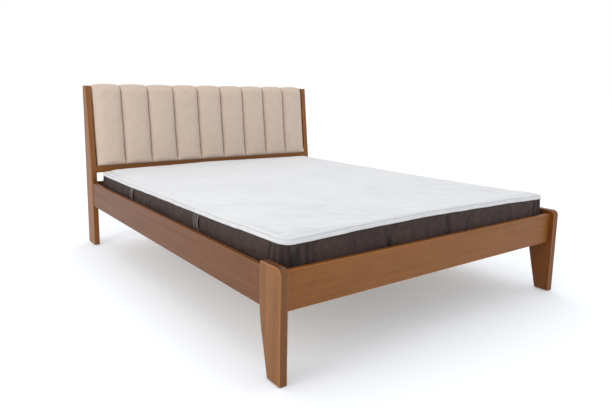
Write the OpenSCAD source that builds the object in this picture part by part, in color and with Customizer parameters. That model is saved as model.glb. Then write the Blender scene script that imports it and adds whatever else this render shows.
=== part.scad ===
// Double bed in solid wood. Board legs and raked back posts carry two side rails, a foot rail
// and a head rail. A padded headboard with upright channels stands between the posts, and a
// sprung slat base on a steel centre beam carries the mattress.
// The origin is the middle of the footprint on the floor. +X is to the right seen from the
// foot of the bed, +Y points to the head and +Z points up. Sizes are in millimetres.

/* [Mattress] */
// Width of the mattress
mattress_w = 1600; // [1400:10:1800]
// Length of the mattress
mattress_l = 2000; // [1900:10:2200]
// Height of the mattress at the edge of its top
mattress_h = 190; // [188:1:210]
// Rise of the middle of the top above its edge
mattress_crown = 12; // [4:1:20]
// Radius of the mattress's upright corners
mattress_corner = 45; // [30:1:80]
// Thickness of the padded border
border_t = 14; // [8:1:18]
// Swell of the border between its two tapes
border_swell = 3; // [1:0.5:5]
// Drop of the upper tape from its corners at the foot to its corners at the head
head_drop = 22; // [0:1:24]
// Height of the edge tapes
tape_h = 15; // [10:1:18]
// Thickness of the edge tapes
tape_t = 5; // [3:0.5:7]
// Depth of the upper tape's lower edge below the edge of the top, at the foot's corners
tape_drop = 22; // [18:1:24]
// Dip of the upper tape in the middle of each long side
tape_dip = 6; // [0:1:8]
// Rise of the upper tape in the middle of the foot and of the head
tape_lift = 13; // [0:1:14]
// Thickness of the bottom cloth with its wadding
bottom_panel_t = 6; // [4:1:8]
// Thickness of the lower foam sheet
base_foam_t = 20; // [10:1:22]
// Thickness of the firm core
core_t = 76; // [60:1:78]
// Thickness of the soft foam sheet over the core
comfort_foam_t = 35; // [15:1:37]
// Width of a carrying handle
handle_w = 50; // [35:1:80]
// Height of a carrying handle
handle_h = 76; // [60:1:84]
// Thickness of a handle's webbing
handle_t = 2.5; // [1.5:0.5:4]
// How far a handle stands off the border
handle_bow = 4; // [2:1:6]
// Distance from the foot end to the first handle's middle
handle_foot = 666; // [400:1:800]
// Distance between the two handles on a side
handle_spacing = 792; // [500:1:900]

/* [Fits] */
// Gap between the mattress and each side rail
side_clear = 22; // [14:1:40]
// Gap between the mattress and the foot rail
foot_clear = 2; // [1:1:20]
// Gap between the mattress and the back posts
head_clear = 28; // [24:1:60]
// Gap between the padded panel and each post
panel_clear = 8; // [4:1:20]
// Radial clearance of dowels and screws in their holes
hole_clear = 0.05; // [0.02:0.01:0.1]
// Clearance of slats and lugs in the parts that hold them
slip = 0.3; // [0.1:0.1:0.6]
// Clearance under the mattress and beside soft pieces
soft_gap = 0.3; // [0.2:0.1:0.8]

/* [Frame] */
// Height of the rails above the floor
rail_z = 255; // [220:1:320]
// Height of the rail boards
rail_h = 146; // [130:1:180]
// Thickness of the rail boards
rail_t = 24; // [22:1:30]
// Setback of the rails from the outer faces of legs and posts
rail_inset = 4; // [0:1:5]
// Rounding of the rails' long edges
rail_round = 3; // [1:0.5:5]
// Setback of the foot rail from the front edges of the legs
foot_setback = 26; // [10:1:50]
// Thickness of the boards of legs and posts
leg_t = 35; // [32:1:45]
// Width of a front leg at the rails
leg_w = 128; // [110:1:150]
// Width of a front leg at the floor
leg_foot_w = 78; // [60:1:100]
// Height at which a front leg starts to taper
taper_z = 222; // [180:1:240]
// Radius of the bend where the taper starts
taper_round = 400; // [100:10:600]
// Height of a front leg above the rails
leg_rise = 19; // [5:1:40]
// Radius of a front leg's upper front corner
leg_nose = 25; // [10:1:40]
// Radius of the smaller upper corners of legs and posts
top_round = 8; // [4:1:12]
// Rounding of the long edges of legs and posts
leg_round = 5; // [2:0.5:8]
// Height of the back posts
post_h = 1003; // [900:1:1100]
// Depth of a back post at the rails
post_d = 116; // [105:1:140]
// Depth of a back post at its top
post_top_d = 50; // [48:1:70]
// Height at which the front of a back post starts to lean
lean_z = 450; // [430:1:460]
// Thickness of the felt pads
felt_t = 3; // [2:0.5:6]
// Width of the felt pads across a leg
felt_w = 22; // [16:1:24]
// Length of a felt pad under a front leg
felt_front_l = 56; // [30:1:60]
// Length of a felt pad under a back post
felt_back_l = 90; // [60:1:95]

/* [Headboard] */
// Number of upright channels
channels = 9; // [5:1:11]
// Depth of the channels' seams below their crowns
channel_depth = 18; // [8:1:22]
// Height of the panel's lower edge above the floor
panel_z = 506; // [490:1:540]
// Height of the seams' upper ends above the posts
panel_rise = 4; // [0:1:20]
// How far the seams stand in front of the posts
seam_proud = 4; // [0:1:6]
// Thickness of the padding at a seam
pad_t = 16; // [10:1:20]
// Thickness of the foam sheet under the padding
panel_foam_t = 8; // [4:1:10]
// Thickness of the plywood panel
panel_board_t = 12; // [9:1:15]
// Thickness of the battens behind the plywood
batten_t = 16; // [10:1:16]
// Height of the battens at the top and bottom
batten_h = 45; // [38:1:60]
// Width of the uprights between the battens
upright_w = 40; // [36:1:60]
// Number of the uprights
uprights = 4; // [3:1:6]
// Thickness of the lining on the back
lining_t = 0.8; // [0.5:0.1:1.5]
// Foam over the upper edge of the plywood
top_pad = 14; // [8:1:20]
// Length of cover turned down over the back
cover_turn = 32; // [20:1:40]
// Height of the lower steel angles above the panel's lower edge
bracket_low = 90; // [60:1:110]
// Distance between the lower and the upper steel angles
bracket_spacing = 180; // [120:1:190]
// Height of the wooden rail under the panel
headrail_h = 42; // [35:1:50]
// Depth of the wooden rail under the panel
headrail_d = 45; // [42:1:50]

/* [Slat base] */
// Number of slats on each side
slats = 13; // [10:1:15]
// Width of a slat
slat_w = 68; // [50:1:75]
// Thickness of a slat
slat_t = 8; // [6:1:12]
// Height of a slat's bow
slat_bow = 12; // [6:1:20]
// Length of a slat held in a holder
slat_grip = 28; // [20:1:30]
// Wall of a slat holder
holder_wall = 3; // [2:0.5:4]
// Width of the ledgers on the side rails
ledger_w = 34; // [32:1:40]
// Height of the ledgers
ledger_h = 28; // [24:1:32]
// Height of the ledgers above the lower edge of the rails
ledger_lift = 3; // [0:1:10]
// Distance from a ledger's end to the middle of the first slat
slat_margin = 60; // [50:1:90]
// Distance from a ledger's end to its first screw
ledger_screw_margin = 40; // [25:1:60]
// Number of screws in each ledger
ledger_screws_n = 7; // [5:1:9]
// Width of the steel centre beam
beam_w = 50; // [48:1:60]
// Height of the centre beam
beam_h = 25; // [20:1:26]
// Wall of the centre beam
beam_wall = 2; // [1.5:0.5:3]
// Distance from the foot rail to the first centre leg
centre_leg_first = 680; // [500:1:800]
// Distance between the two centre legs
centre_leg_spacing = 700; // [500:1:900]
// Diameter of the centre legs
centre_leg_d = 32; // [28:1:38]
// Wall of the centre legs
centre_leg_wall = 2; // [1.5:0.5:3]

/* [Fittings] */
// Thickness of sheet steel fittings
steel_t = 3; // [2:0.5:4]
// Width of the hook plates and slot plates
plate_w = 16; // [14:1:18]
// Height of the hook plates and slot plates
plate_h = 110; // [95:1:120]
// Height of a hook
hook_h = 18; // [12:1:22]
// Drop of a hook behind its slot plate
hook_drop = 5; // [3:1:7]
// Diameter of the wood screws
screw_d = 4; // [3:0.5:5]
// Length of the wood screws
screw_l = 30; // [20:1:35]
// Diameter of the dowels
dowel_d = 10; // [8:1:12]
// Depth of a dowel in a leg or post
dowel_in_leg = 20; // [12:1:22]
// Depth of a dowel in the end of a rail
dowel_in_rail = 30; // [20:1:40]
// Number of dowels at each end of the foot rail and of the head rail
dowels = 3; // [2:1:4]

/* [Hidden] */

wood = [0.56, 0.38, 0.26];
wood_inside = [0.80, 0.66, 0.48];
steel = [0.72, 0.73, 0.75];
dark_steel = [0.20, 0.20, 0.21];
beige = [0.80, 0.74, 0.68];
foam = [0.93, 0.90, 0.80];
white = [0.93, 0.94, 0.95];
tape_white = [0.84, 0.88, 0.92];
border_brown = [0.29, 0.25, 0.24];
handle_brown = [0.42, 0.37, 0.36];
grey = [0.35, 0.35, 0.36];

// Widths across the bed, from the mattress outwards
rail_in = mattress_w / 2 + side_clear;
rail_out = rail_in + rail_t;
rail_mid = (rail_in + rail_out) / 2;
leg_out = rail_out + rail_inset;
leg_in = leg_out - leg_t;
leg_mid = (leg_in + leg_out) / 2;

// Lengths along the bed, from the foot to the head
bed_l = foot_setback + rail_t + foot_clear + mattress_l + head_clear + post_d;
foot_y = -bed_l / 2;
foot_rail_in = foot_y + foot_setback + rail_t;
mattress_y = foot_rail_in + foot_clear;
leg_back_y = foot_y + leg_w;
post_y = mattress_y + mattress_l + head_clear;
back_y = post_y + post_d;
head_rail_y = post_y + (post_d - rail_t) / 2;

// Heights above the floor
rail_top = rail_z + rail_h;
leg_h = rail_top + leg_rise;
ledger_z = rail_z + ledger_lift;
seat_z = ledger_z + ledger_h;
slat_z = seat_z + holder_wall + slip;
mattress_z = slat_z + slat_t + slat_bow + soft_gap;
mattress_top = mattress_z + mattress_h;
core_z = mattress_z + bottom_panel_t + base_foam_t;
comfort_z = core_z + core_t;
quilt_z = comfort_z + comfort_foam_t;

// The headboard leans with the posts: x across, v back from their front faces, w up along them
lean = atan((post_d - post_top_d) / (post_h - lean_z));
panel_w0 = (panel_z - lean_z) / cos(lean);
panel_w1 = (post_h + panel_rise - lean_z) / cos(lean);
panel_half = leg_in - panel_clear;
seam_v = -seam_proud;
foam_v = seam_v + pad_t;
board_v = foam_v + panel_foam_t;
batten_v = board_v + panel_board_t;
lining_v = batten_v + batten_t;
bracket_v = lining_v + lining_t;
board_top = panel_w1 - top_pad;
cover_end = panel_w1 - top_pad - cover_turn;
headrail_v = 1;
headrail_mid_v = headrail_v + headrail_d / 2;

// Eased edges are drawn in steps of this many degrees
ease_step = 30;
// Segments in an arc of an outline, and in a full circle of the mattress's corners
arc_parts = 5;
corner_parts = 5;
// Extra radius of the flat layers' corners
corner_ease = 3;
// Stations along the mattress's ends and long sides
end_parts = 11;
side_parts = 13;
// Stations across one channel of the pad
channel_parts = 5;
// Sides of small round parts
round_parts = 24;
// Straight pieces in a slat's bow
bow_parts = 8;

hook_t = steel_t;
hook_lip = 3;
hook_z = [-plate_h / 2 + 36, plate_h / 2 - 36];
plate_screw_z = plate_h / 2 - 12;
plate_z = rail_z + rail_h / 2;
screw_head_d = screw_d * 2;
screw_head_t = screw_d * 0.55;
pan_head_t = screw_d * 0.6;
dowel_margin = 30;
slat_x0 = 10;
slat_x1 = rail_in - 4;
holder_w = slat_w + 2 * (slip + holder_wall);
holder_h = slat_t + 2 * (slip + holder_wall);
lug = [8, 24, 7];
bracket_cheek = 40;
bracket_side = 20;
leg_plate = [beam_w - 4, 90];
glide_flange = 6;
glide_plug = 14;
panel_bracket_w = 40;
panel_bracket_arm = 22;
panel_bracket_reach = 38;
panel_bracket_at = [panel_w0 + bracket_low, panel_w0 + bracket_low + bracket_spacing];
panel_screw_x = [for (i = [0:3]) (i - 1.5) * panel_half / 2];
panel_screw_in = 28;
panel_screw_l = headrail_h - screw_head_t + panel_screw_in;
rail_screw_l = rail_t - 4;
ledger_screw_l = ledger_w + rail_t - 6;
leg_screw_l = steel_t + beam_wall + 8;
post_screw_l = leg_t - 15;
upright_screw_l = lining_t + batten_t - 1;
foot_pad_y = foot_y + leg_foot_w / 2;
back_pad_y = post_y + post_d / 2;

function unit(v) = v / norm(v);
function left_of(a, b) = unit([a[1] - b[1], b[0] - a[0]]);

// Outline drawn in by d on every side; the points run anticlockwise
function drawn_in(points, d) = let (n = len(points)) [
    for (i = [0:n - 1])
        let (m = left_of(points[(i + n - 1) % n], points[i]))
        let (q = left_of(points[i], points[(i + 1) % n]))
        points[i] + d * (m + q) / (1 + m * q)
];

// Points of an arc of radius r that rounds the corner b between a and c
function rounded_corner(a, b, c, r, n) =
    let (u = unit(a - b), v = unit(c - b))
    let (half = acos(u * v) / 2)
    let (centre = b + unit(u + v) * r / sin(half))
    let (start = b + u * r / tan(half) - centre)
    let (from = atan2(start[1], start[0]), turn = 180 - 2 * half)
    [for (i = [0:n]) centre + r * [cos(from + turn * i / n), sin(from + turn * i / n)]];

// Rectangle with round corners, from the origin
module soft_square(w, h, r) {
    translate([r, 0]) square([w - 2 * r, h]);
    translate([0, r]) square([w, h - 2 * r]);
    for (x = [r, w - r], y = [r, h - r]) translate([x, y]) circle(r, $fn = round_parts);
}

// Board lying along the bed, from y0 to y1
module board_along(x, z, w, h, y0, y1, r) {
    translate([x, y1, z]) rotate([90, 0, 0]) linear_extrude(y1 - y0) soft_square(w, h, r);
}

// Board lying across the bed, from x0 to x1
module board_across(y, z, d, h, x0, x1, r) {
    translate([x0, y, z]) rotate([90, 0, 90]) linear_extrude(x1 - x0) soft_square(d, h, r);
}

// Upright board in the side plane, with its outline in y and z and eased edges all round
module eased_board(points, t, r) {
    hull()
        for (a = [0:ease_step:90]) {
            half = t / 2 - r * (1 - cos(a));
            rotate([90, 0, 90])
                translate([0, 0, -half])
                    linear_extrude(2 * half) polygon(drawn_in(points, r * (1 - sin(a))));
        }
}

// Countersunk screw along -z with its head flush at z = 0
module sunk_screw(l) {
    rotate_extrude($fn = round_parts)
        polygon([
            [0, -l],
            [screw_d / 2, -l],
            [screw_d / 2, -screw_head_t],
            [screw_head_d / 2, 0],
            [0, 0]
        ]);
}

// Hole for a countersunk screw, open above its head by deep
module sunk_hole(l, deep = 1) {
    shank = screw_d / 2 + hole_clear;
    head = screw_head_d / 2 + hole_clear;
    rotate_extrude($fn = round_parts)
        polygon([[0, -l], [shank, -l], [shank, -screw_head_t], [head, 0], [head, deep], [0, deep]]);
}

// Pan head screw along -z with its head on z = 0
module pan_screw(l) {
    translate([0, 0, -l]) cylinder(d = screw_d, h = l + pan_head_t / 2, $fn = round_parts);
    cylinder(d = screw_head_d, h = pan_head_t, $fn = round_parts);
}

// Hole for a pan head screw
module pan_hole(l) {
    translate([0, 0, -l]) cylinder(d = screw_d + 2 * hole_clear, h = l + 1, $fn = round_parts);
}

// Legs and posts

module leg_outline_board() {
    a = [0, 0];
    b = [leg_foot_w, 0];
    c = [leg_w, taper_z - felt_t];
    d = [leg_w, leg_h - felt_t];
    e = [0, leg_h - felt_t];
    points = concat(
        [a, b],
        rounded_corner(b, c, d, taper_round, arc_parts),
        rounded_corner(c, d, e, top_round, 3),
        rounded_corner(d, e, a, leg_nose, arc_parts)
    );
    translate([-leg_mid, foot_y, felt_t]) eased_board(points, leg_t, leg_round);
}

module post_outline_board() {
    a = [0, 0];
    b = [post_d, 0];
    c = [post_d, post_h - felt_t];
    d = [post_d - post_top_d, post_h - felt_t];
    e = [0, lean_z - felt_t];
    points = concat(
        [a, b],
        rounded_corner(b, c, d, top_round, 3),
        rounded_corner(c, d, e, top_round, 3),
        rounded_corner(d, e, a, taper_round, 3)
    );
    translate([-leg_mid, post_y, felt_t]) eased_board(points, leg_t, leg_round);
}

module front_leg() {
    color(wood) difference() {
        leg_outline_board();
        at_rail_end(0) slot_plate_recess();
        rail_dowel_set(foot_y + foot_setback + rail_t / 2, hole_clear);
    }
}

module back_post() {
    color(wood) difference() {
        post_outline_board();
        at_rail_end(1) slot_plate_recess();
        rail_dowel_set(head_rail_y + rail_t / 2, hole_clear);
        headrail_dowel_set(hole_clear);
        at_panel_brackets() at_post_screw() pan_hole(post_screw_l);
    }
}

module front_leg_left() { front_leg(); }
module front_leg_right() { mirror([1, 0, 0]) front_leg(); }
module back_post_left() { back_post(); }
module back_post_right() { mirror([1, 0, 0]) back_post(); }

module felt_pads() {
    color(grey)
        for (side = [-1, 1], pad = [[foot_pad_y, felt_front_l], [back_pad_y, felt_back_l]])
            translate([side * leg_mid - felt_w / 2, pad[0] - pad[1] / 2, 0]) cube([felt_w, pad[1], felt_t]);
}

// Rails and their dowels

// Middle heights of the dowels in the foot rail and in the head rail
function dowel_heights() = [
    for (i = [0:dowels - 1]) rail_z + dowel_margin + i * (rail_h - 2 * dowel_margin) / (dowels - 1)
];

// Dowels at the left end of a rail whose middle is at y
module rail_dowel_set(y, clear = 0) {
    for (z = dowel_heights())
        translate([-leg_in - dowel_in_leg, y, z]) rotate([0, 90, 0])
            cylinder(r = dowel_d / 2 + clear, h = dowel_in_leg + dowel_in_rail, $fn = round_parts);
}

module both_sides() {
    children();
    mirror([1, 0, 0]) children();
}

module cross_rail(y) {
    board_across(y, rail_z, rail_t, rail_h, -leg_in, leg_in, rail_round);
}

module foot_rail() {
    color(wood) difference() {
        cross_rail(foot_y + foot_setback);
        both_sides() rail_dowel_set(foot_y + foot_setback + rail_t / 2, hole_clear);
        at_beam_bracket_screws(0) pan_hole(rail_screw_l);
    }
}

module head_rail() {
    color(wood) difference() {
        cross_rail(head_rail_y);
        both_sides() rail_dowel_set(head_rail_y + rail_t / 2, hole_clear);
        at_beam_bracket_screws(1) pan_hole(rail_screw_l);
    }
}

module foot_rail_dowels() {
    color(wood_inside) both_sides() rail_dowel_set(foot_y + foot_setback + rail_t / 2);
}

module head_rail_dowels() {
    color(wood_inside) both_sides() rail_dowel_set(head_rail_y + rail_t / 2);
}

module side_rail() {
    color(wood) difference() {
        board_along(-rail_out, rail_z, rail_t, rail_h, leg_back_y, post_y, rail_round);
        for (end = [0, 1]) at_rail_end(end) hook_plate_recess();
        at_ledger_screws() pan_hole(ledger_screw_l);
    }
}

module side_rail_left() { side_rail(); }
module side_rail_right() { mirror([1, 0, 0]) side_rail(); }

// Hook plates in the rail ends hang in slot plates in the edges of the legs and posts.
// In their own frame y = 0 is the joint, +y points into the rail and z = 0 is the rail's middle.

module at_rail_end(end) {
    translate([-rail_mid, end == 0 ? leg_back_y : post_y, plate_z]) mirror([0, end, 0]) children();
}

module plate_screws_at() {
    for (z = [-plate_screw_z, plate_screw_z]) translate([0, 0, z]) children();
}

module slot_plate_recess() {
    translate([-plate_w / 2, -steel_t, -plate_h / 2]) cube([plate_w, steel_t + 1, plate_h]);
    for (z = hook_z)
        translate([-hook_t / 2 - 1, -2 * steel_t - hook_lip - 2, z - hook_h / 2 - hook_drop - 2])
            cube([hook_t + 2, steel_t + hook_lip + 3, hook_h + hook_drop + 4]);
    plate_screws_at() rotate([-90, 0, 0]) sunk_hole(screw_l);
}

module hook_plate_recess() {
    translate([-plate_w / 2, -1, -plate_h / 2]) cube([plate_w, steel_t + 1, plate_h]);
    plate_screws_at() rotate([90, 0, 0]) sunk_hole(screw_l);
}

module slot_plate() {
    difference() {
        translate([-plate_w / 2, -steel_t, -plate_h / 2]) cube([plate_w, steel_t, plate_h]);
        for (z = hook_z)
            translate([-hook_t / 2 - slip, -steel_t - 1, z - hook_h / 2 - hook_drop])
                cube([hook_t + 2 * slip, steel_t + 2, hook_h + hook_drop + slip]);
        plate_screws_at() rotate([-90, 0, 0]) sunk_hole(screw_l);
    }
}

module hook_plate() {
    difference() {
        translate([-plate_w / 2, 0, -plate_h / 2]) cube([plate_w, steel_t, plate_h]);
        plate_screws_at() rotate([90, 0, 0]) sunk_hole(screw_l);
    }
    for (z = hook_z) {
        reach = steel_t + slip + hook_lip;
        translate([-hook_t / 2, -reach, z - hook_h / 2]) cube([hook_t, reach + 1, hook_h]);
        translate([-hook_t / 2, -reach, z - hook_h / 2 - hook_drop]) cube([hook_t, hook_lip, hook_drop + 1]);
    }
}

module rail_hook_plates() {
    color(steel) both_sides() for (end = [0, 1]) at_rail_end(end) hook_plate();
}

module post_slot_plates() {
    color(steel) both_sides() for (end = [0, 1]) at_rail_end(end) slot_plate();
}

module hook_plate_screws() {
    color(steel) both_sides()
        for (end = [0, 1]) at_rail_end(end) plate_screws_at() rotate([90, 0, 0]) sunk_screw(screw_l);
}

module slot_plate_screws() {
    color(steel) both_sides()
        for (end = [0, 1]) at_rail_end(end) plate_screws_at() rotate([-90, 0, 0]) sunk_screw(screw_l);
}

// Ledgers, centre beam and slats

ledger_y0 = leg_back_y + 2;
ledger_y1 = post_y - 2;
slat_pitch = (ledger_y1 - ledger_y0 - 2 * slat_margin) / (slats - 1);
function slat_y(i) = ledger_y0 + slat_margin + i * slat_pitch;
ledger_screw_pitch = (ledger_y1 - ledger_y0 - 2 * ledger_screw_margin) / (ledger_screws_n - 1);
function ledger_screw_y(i) = ledger_y0 + ledger_screw_margin + i * ledger_screw_pitch;

module at_ledger_screws() {
    for (i = [0:ledger_screws_n - 1])
        translate([ledger_w - rail_in, ledger_screw_y(i), ledger_z + ledger_h / 2 - 4])
            rotate([0, 90, 0]) children();
}

module lug_slot(x, i) {
    translate([x - lug[0] / 2 - slip, slat_y(i) - lug[1] / 2 - slip, seat_z - lug[2] - slip])
        cube([lug[0] + 2 * slip, lug[1] + 2 * slip, lug[2] + slip + 1]);
}

holder_x = rail_in - ledger_w / 2;

module ledger() {
    color(wood_inside) difference() {
        translate([-rail_in, ledger_y0, ledger_z]) cube([ledger_w, ledger_y1 - ledger_y0, ledger_h]);
        for (i = [0:slats - 1]) lug_slot(-holder_x, i);
        at_ledger_screws() pan_hole(ledger_screw_l);
    }
}

module ledger_left() { ledger(); }
module ledger_right() { mirror([1, 0, 0]) ledger(); }
module ledger_screws() { color(steel) both_sides() at_ledger_screws() pan_screw(ledger_screw_l); }

beam_y0 = foot_rail_in + steel_t + 1;
beam_y1 = head_rail_y - steel_t - 1;
beam_z = seat_z - beam_h;

module centre_beam() {
    color(dark_steel) difference() {
        translate([-beam_w / 2, beam_y0, beam_z]) cube([beam_w, beam_y1 - beam_y0, beam_h]);
        translate([beam_wall - beam_w / 2, beam_y0 - 1, beam_z + beam_wall])
            cube([beam_w - 2 * beam_wall, beam_y1 - beam_y0 + 2, beam_h - 2 * beam_wall]);
        for (i = [0:slats - 1]) lug_slot(0, i);
        at_centre_leg_screws() pan_hole(leg_screw_l);
    }
}

// Stirrup on the inner face of a cross rail; end 0 is at the foot and end 1 at the head
module beam_stirrup(end) {
    inside = beam_w / 2 + slip;
    translate([0, end == 0 ? foot_rail_in : head_rail_y, 0]) mirror([0, end, 0]) {
        translate([-inside - bracket_side, 0, beam_z - steel_t])
            cube([2 * (inside + bracket_side), steel_t, beam_h + steel_t]);
        translate([-inside - steel_t, 0, beam_z - steel_t])
            cube([2 * (inside + steel_t), bracket_cheek, steel_t]);
        for (x = [-inside - steel_t, inside])
            translate([x, 0, beam_z - steel_t]) cube([steel_t, bracket_cheek, beam_h * 0.8]);
    }
}

module at_beam_bracket_screws(end) {
    translate([0, end == 0 ? foot_rail_in : head_rail_y, beam_z + beam_h / 2]) mirror([0, end, 0])
        for (x = [-1, 1])
            translate([x * (beam_w / 2 + bracket_side - 7), steel_t, 0]) rotate([-90, 0, 0]) children();
}

module beam_brackets() {
    color(steel) for (end = [0, 1]) difference() {
        beam_stirrup(end);
        at_beam_bracket_screws(end) pan_hole(rail_screw_l);
    }
}

module beam_bracket_screws() {
    color(steel) for (end = [0, 1]) at_beam_bracket_screws(end) pan_screw(rail_screw_l);
}

function centre_leg_y(i) = foot_rail_in + centre_leg_first + i * centre_leg_spacing;

module at_centre_leg_screws() {
    for (i = [0, 1], s = [-1, 1])
        translate([0, centre_leg_y(i) + s * (leg_plate[1] / 2 - 10), beam_z - steel_t])
            rotate([180, 0, 0]) children();
}

module centre_leg(i) {
    top = beam_z - steel_t;
    color(dark_steel) difference() {
        translate([0, centre_leg_y(i), 0]) {
            translate([-leg_plate[0] / 2, -leg_plate[1] / 2, top])
                cube([leg_plate[0], leg_plate[1], steel_t]);
            translate([0, 0, glide_flange]) difference() {
                cylinder(d = centre_leg_d, h = top - glide_flange + 1, $fn = 32);
                translate([0, 0, -1])
                    cylinder(d = centre_leg_d - 2 * centre_leg_wall, h = top - glide_flange + 1, $fn = 32);
            }
        }
        at_centre_leg_screws() pan_hole(leg_screw_l);
    }
}

module centre_leg_foot_end() { centre_leg(0); }
module centre_leg_head_end() { centre_leg(1); }
module centre_leg_screws() { color(steel) at_centre_leg_screws() pan_screw(leg_screw_l); }

module centre_leg_glides() {
    plug_d = centre_leg_d - 2 * centre_leg_wall - 2 * hole_clear;
    color(grey) for (i = [0, 1]) translate([0, centre_leg_y(i), 0]) {
        cylinder(d = centre_leg_d + 4, h = glide_flange, $fn = 32);
        cylinder(d = plug_d, h = glide_flange + glide_plug, $fn = 32);
    }
}

// Height of a slat's underside at a share t of its length: flat in the holders, bowed between
function slat_rise(t) =
    let (flat = slat_grip / (slat_x1 - slat_x0))
    let (u = max(0, min(1, (t - flat) / (1 - 2 * flat))))
    slat_bow * (1 - cos(360 * u)) / 2;

module slat(i) {
    flat = slat_grip / (slat_x1 - slat_x0);
    stations = concat([0], [for (k = [0:bow_parts]) flat + (1 - 2 * flat) * k / bow_parts], [1]);
    lower = [for (t = stations) [slat_x0 + t * (slat_x1 - slat_x0), slat_rise(t)]];
    upper = [for (k = [len(lower) - 1:-1:0]) lower[k] + [0, slat_t]];
    translate([0, slat_y(i) + slat_w / 2, slat_z])
        rotate([90, 0, 0]) linear_extrude(slat_w) polygon(concat(lower, upper));
}

module slats_right() { color(wood_inside) for (i = [0:slats - 1]) slat(i); }
module slats_left() { mirror([1, 0, 0]) slats_right(); }

// Holder on a ledger, closed at its outer end
module side_holder(i) {
    x0 = rail_in - ledger_w;
    translate([0, slat_y(i), 0]) {
        difference() {
            translate([x0, -holder_w / 2, seat_z]) cube([ledger_w, holder_w, holder_h]);
            translate([x0 - 1, -slat_w / 2 - slip, seat_z + holder_wall])
                cube([slat_x1 - x0 + 1 + slip, slat_w + 2 * slip, slat_t + 2 * slip]);
        }
        translate([holder_x - lug[0] / 2, -lug[1] / 2, seat_z - lug[2]]) cube([lug[0], lug[1], lug[2] + 1]);
    }
}

// Double holder on the centre beam, with a web between the two slats
module centre_holder(i) {
    half = slat_x0 + slat_grip;
    deep = slat_grip + slip + 1;
    translate([0, slat_y(i), 0]) {
        difference() {
            translate([-half, -holder_w / 2, seat_z]) cube([2 * half, holder_w, holder_h]);
            for (x = [-half - 1, slat_x0 - slip])
                translate([x, -slat_w / 2 - slip, seat_z + holder_wall])
                    cube([deep, slat_w + 2 * slip, slat_t + 2 * slip]);
        }
        translate([-lug[0] / 2, -lug[1] / 2, seat_z - lug[2]]) cube([lug[0], lug[1], lug[2] + 1]);
    }
}

module side_slat_holders() { color(grey) both_sides() for (i = [0:slats - 1]) side_holder(i); }
module centre_slat_holders() { color(grey) for (i = [0:slats - 1]) centre_holder(i); }

// Headboard, drawn in the leaning frame

module leaning() {
    translate([0, post_y, lean_z]) rotate([-lean, 0, 0]) children();
}

// Board across the headboard, between w0 and w1
module lean_board(v, t, w0, w1, half) {
    translate([-half, v, w0]) cube([2 * half, t, w1 - w0]);
}

module headrail_dowel_set(clear = 0) {
    leaning()
        for (v = [-1, 1])
            translate([-leg_in - dowel_in_leg, headrail_mid_v + v * headrail_d / 4, panel_w0 - headrail_h / 2])
                rotate([0, 90, 0])
                    cylinder(r = dowel_d / 2 + clear, h = dowel_in_leg + dowel_in_rail, $fn = round_parts);
}

module at_panel_screws() {
    leaning()
        for (x = panel_screw_x)
            translate([x, batten_v + batten_t / 2, panel_w0 - headrail_h + screw_head_t])
                rotate([180, 0, 0]) children();
}

module headboard_rail() {
    color(wood) difference() {
        leaning()
            translate([0, 0, panel_w0 - headrail_h])
                board_across(headrail_v, 0, headrail_d, headrail_h, -leg_in, leg_in, rail_round);
        both_sides() headrail_dowel_set(hole_clear);
        at_panel_screws() sunk_hole(panel_screw_l, screw_head_t + 1);
    }
}

module headboard_rail_dowels() { color(wood_inside) both_sides() headrail_dowel_set(); }
module headboard_rail_screws() { color(steel) at_panel_screws() sunk_screw(panel_screw_l); }

module headboard_foam() {
    color(foam) leaning() lean_board(foam_v, panel_foam_t, panel_w0, board_top, panel_half - 2);
}

module headboard_panel() {
    color(wood_inside) leaning() lean_board(board_v, panel_board_t, panel_w0, board_top, panel_half - 2);
}

module headboard_battens() {
    color(wood_inside) difference() {
        leaning()
            for (w = [panel_w0, board_top - batten_h])
                lean_board(batten_v, batten_t, w, w + batten_h, panel_half - 2);
        at_panel_screws() sunk_hole(panel_screw_l);
    }
}

module headboard_uprights() {
    span = 2 * (panel_half - 2) - upright_w;
    color(wood_inside) difference() {
        leaning()
            for (i = [0:uprights - 1])
                translate([span * (i / (uprights - 1) - 0.5), 0, 0])
                    lean_board(batten_v, batten_t, panel_w0 + batten_h, board_top - batten_h, upright_w / 2);
        both_sides() at_panel_brackets() at_upright_screw() pan_hole(upright_screw_l);
    }
}

module headboard_lining() {
    color(grey) difference() {
        leaning() lean_board(lining_v, lining_t, panel_w0 + 3, cover_end - 2, panel_half - 4);
        both_sides() at_panel_brackets() at_upright_screw() pan_hole(upright_screw_l);
    }
}

// Steel angles that hold the panel between the posts; x = 0 is the post's inner face,
// y = 0 the lining's back and z = 0 the angle's middle
module at_panel_brackets() {
    for (w = panel_bracket_at) leaning() translate([-leg_in, bracket_v, w]) children();
}

module at_post_screw() {
    translate([steel_t - 1, panel_bracket_arm - 8, 0]) rotate([0, 90, 0]) children();
}

module at_upright_screw() {
    translate([panel_clear + upright_w / 2, steel_t - 1, 0]) rotate([-90, 0, 0]) children();
}

module panel_angle() {
    difference() {
        translate([0, 0, -panel_bracket_w / 2]) {
            cube([steel_t - 1, panel_bracket_arm, panel_bracket_w]);
            cube([panel_bracket_reach, steel_t - 1, panel_bracket_w]);
        }
        at_post_screw() pan_hole(post_screw_l);
        at_upright_screw() pan_hole(upright_screw_l);
    }
}

module headboard_brackets() { color(steel) both_sides() at_panel_brackets() panel_angle(); }

module headboard_bracket_screws() {
    color(steel) both_sides() at_panel_brackets() {
        at_post_screw() pan_screw(post_screw_l);
        at_upright_screw() pan_screw(upright_screw_l);
    }
}

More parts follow.
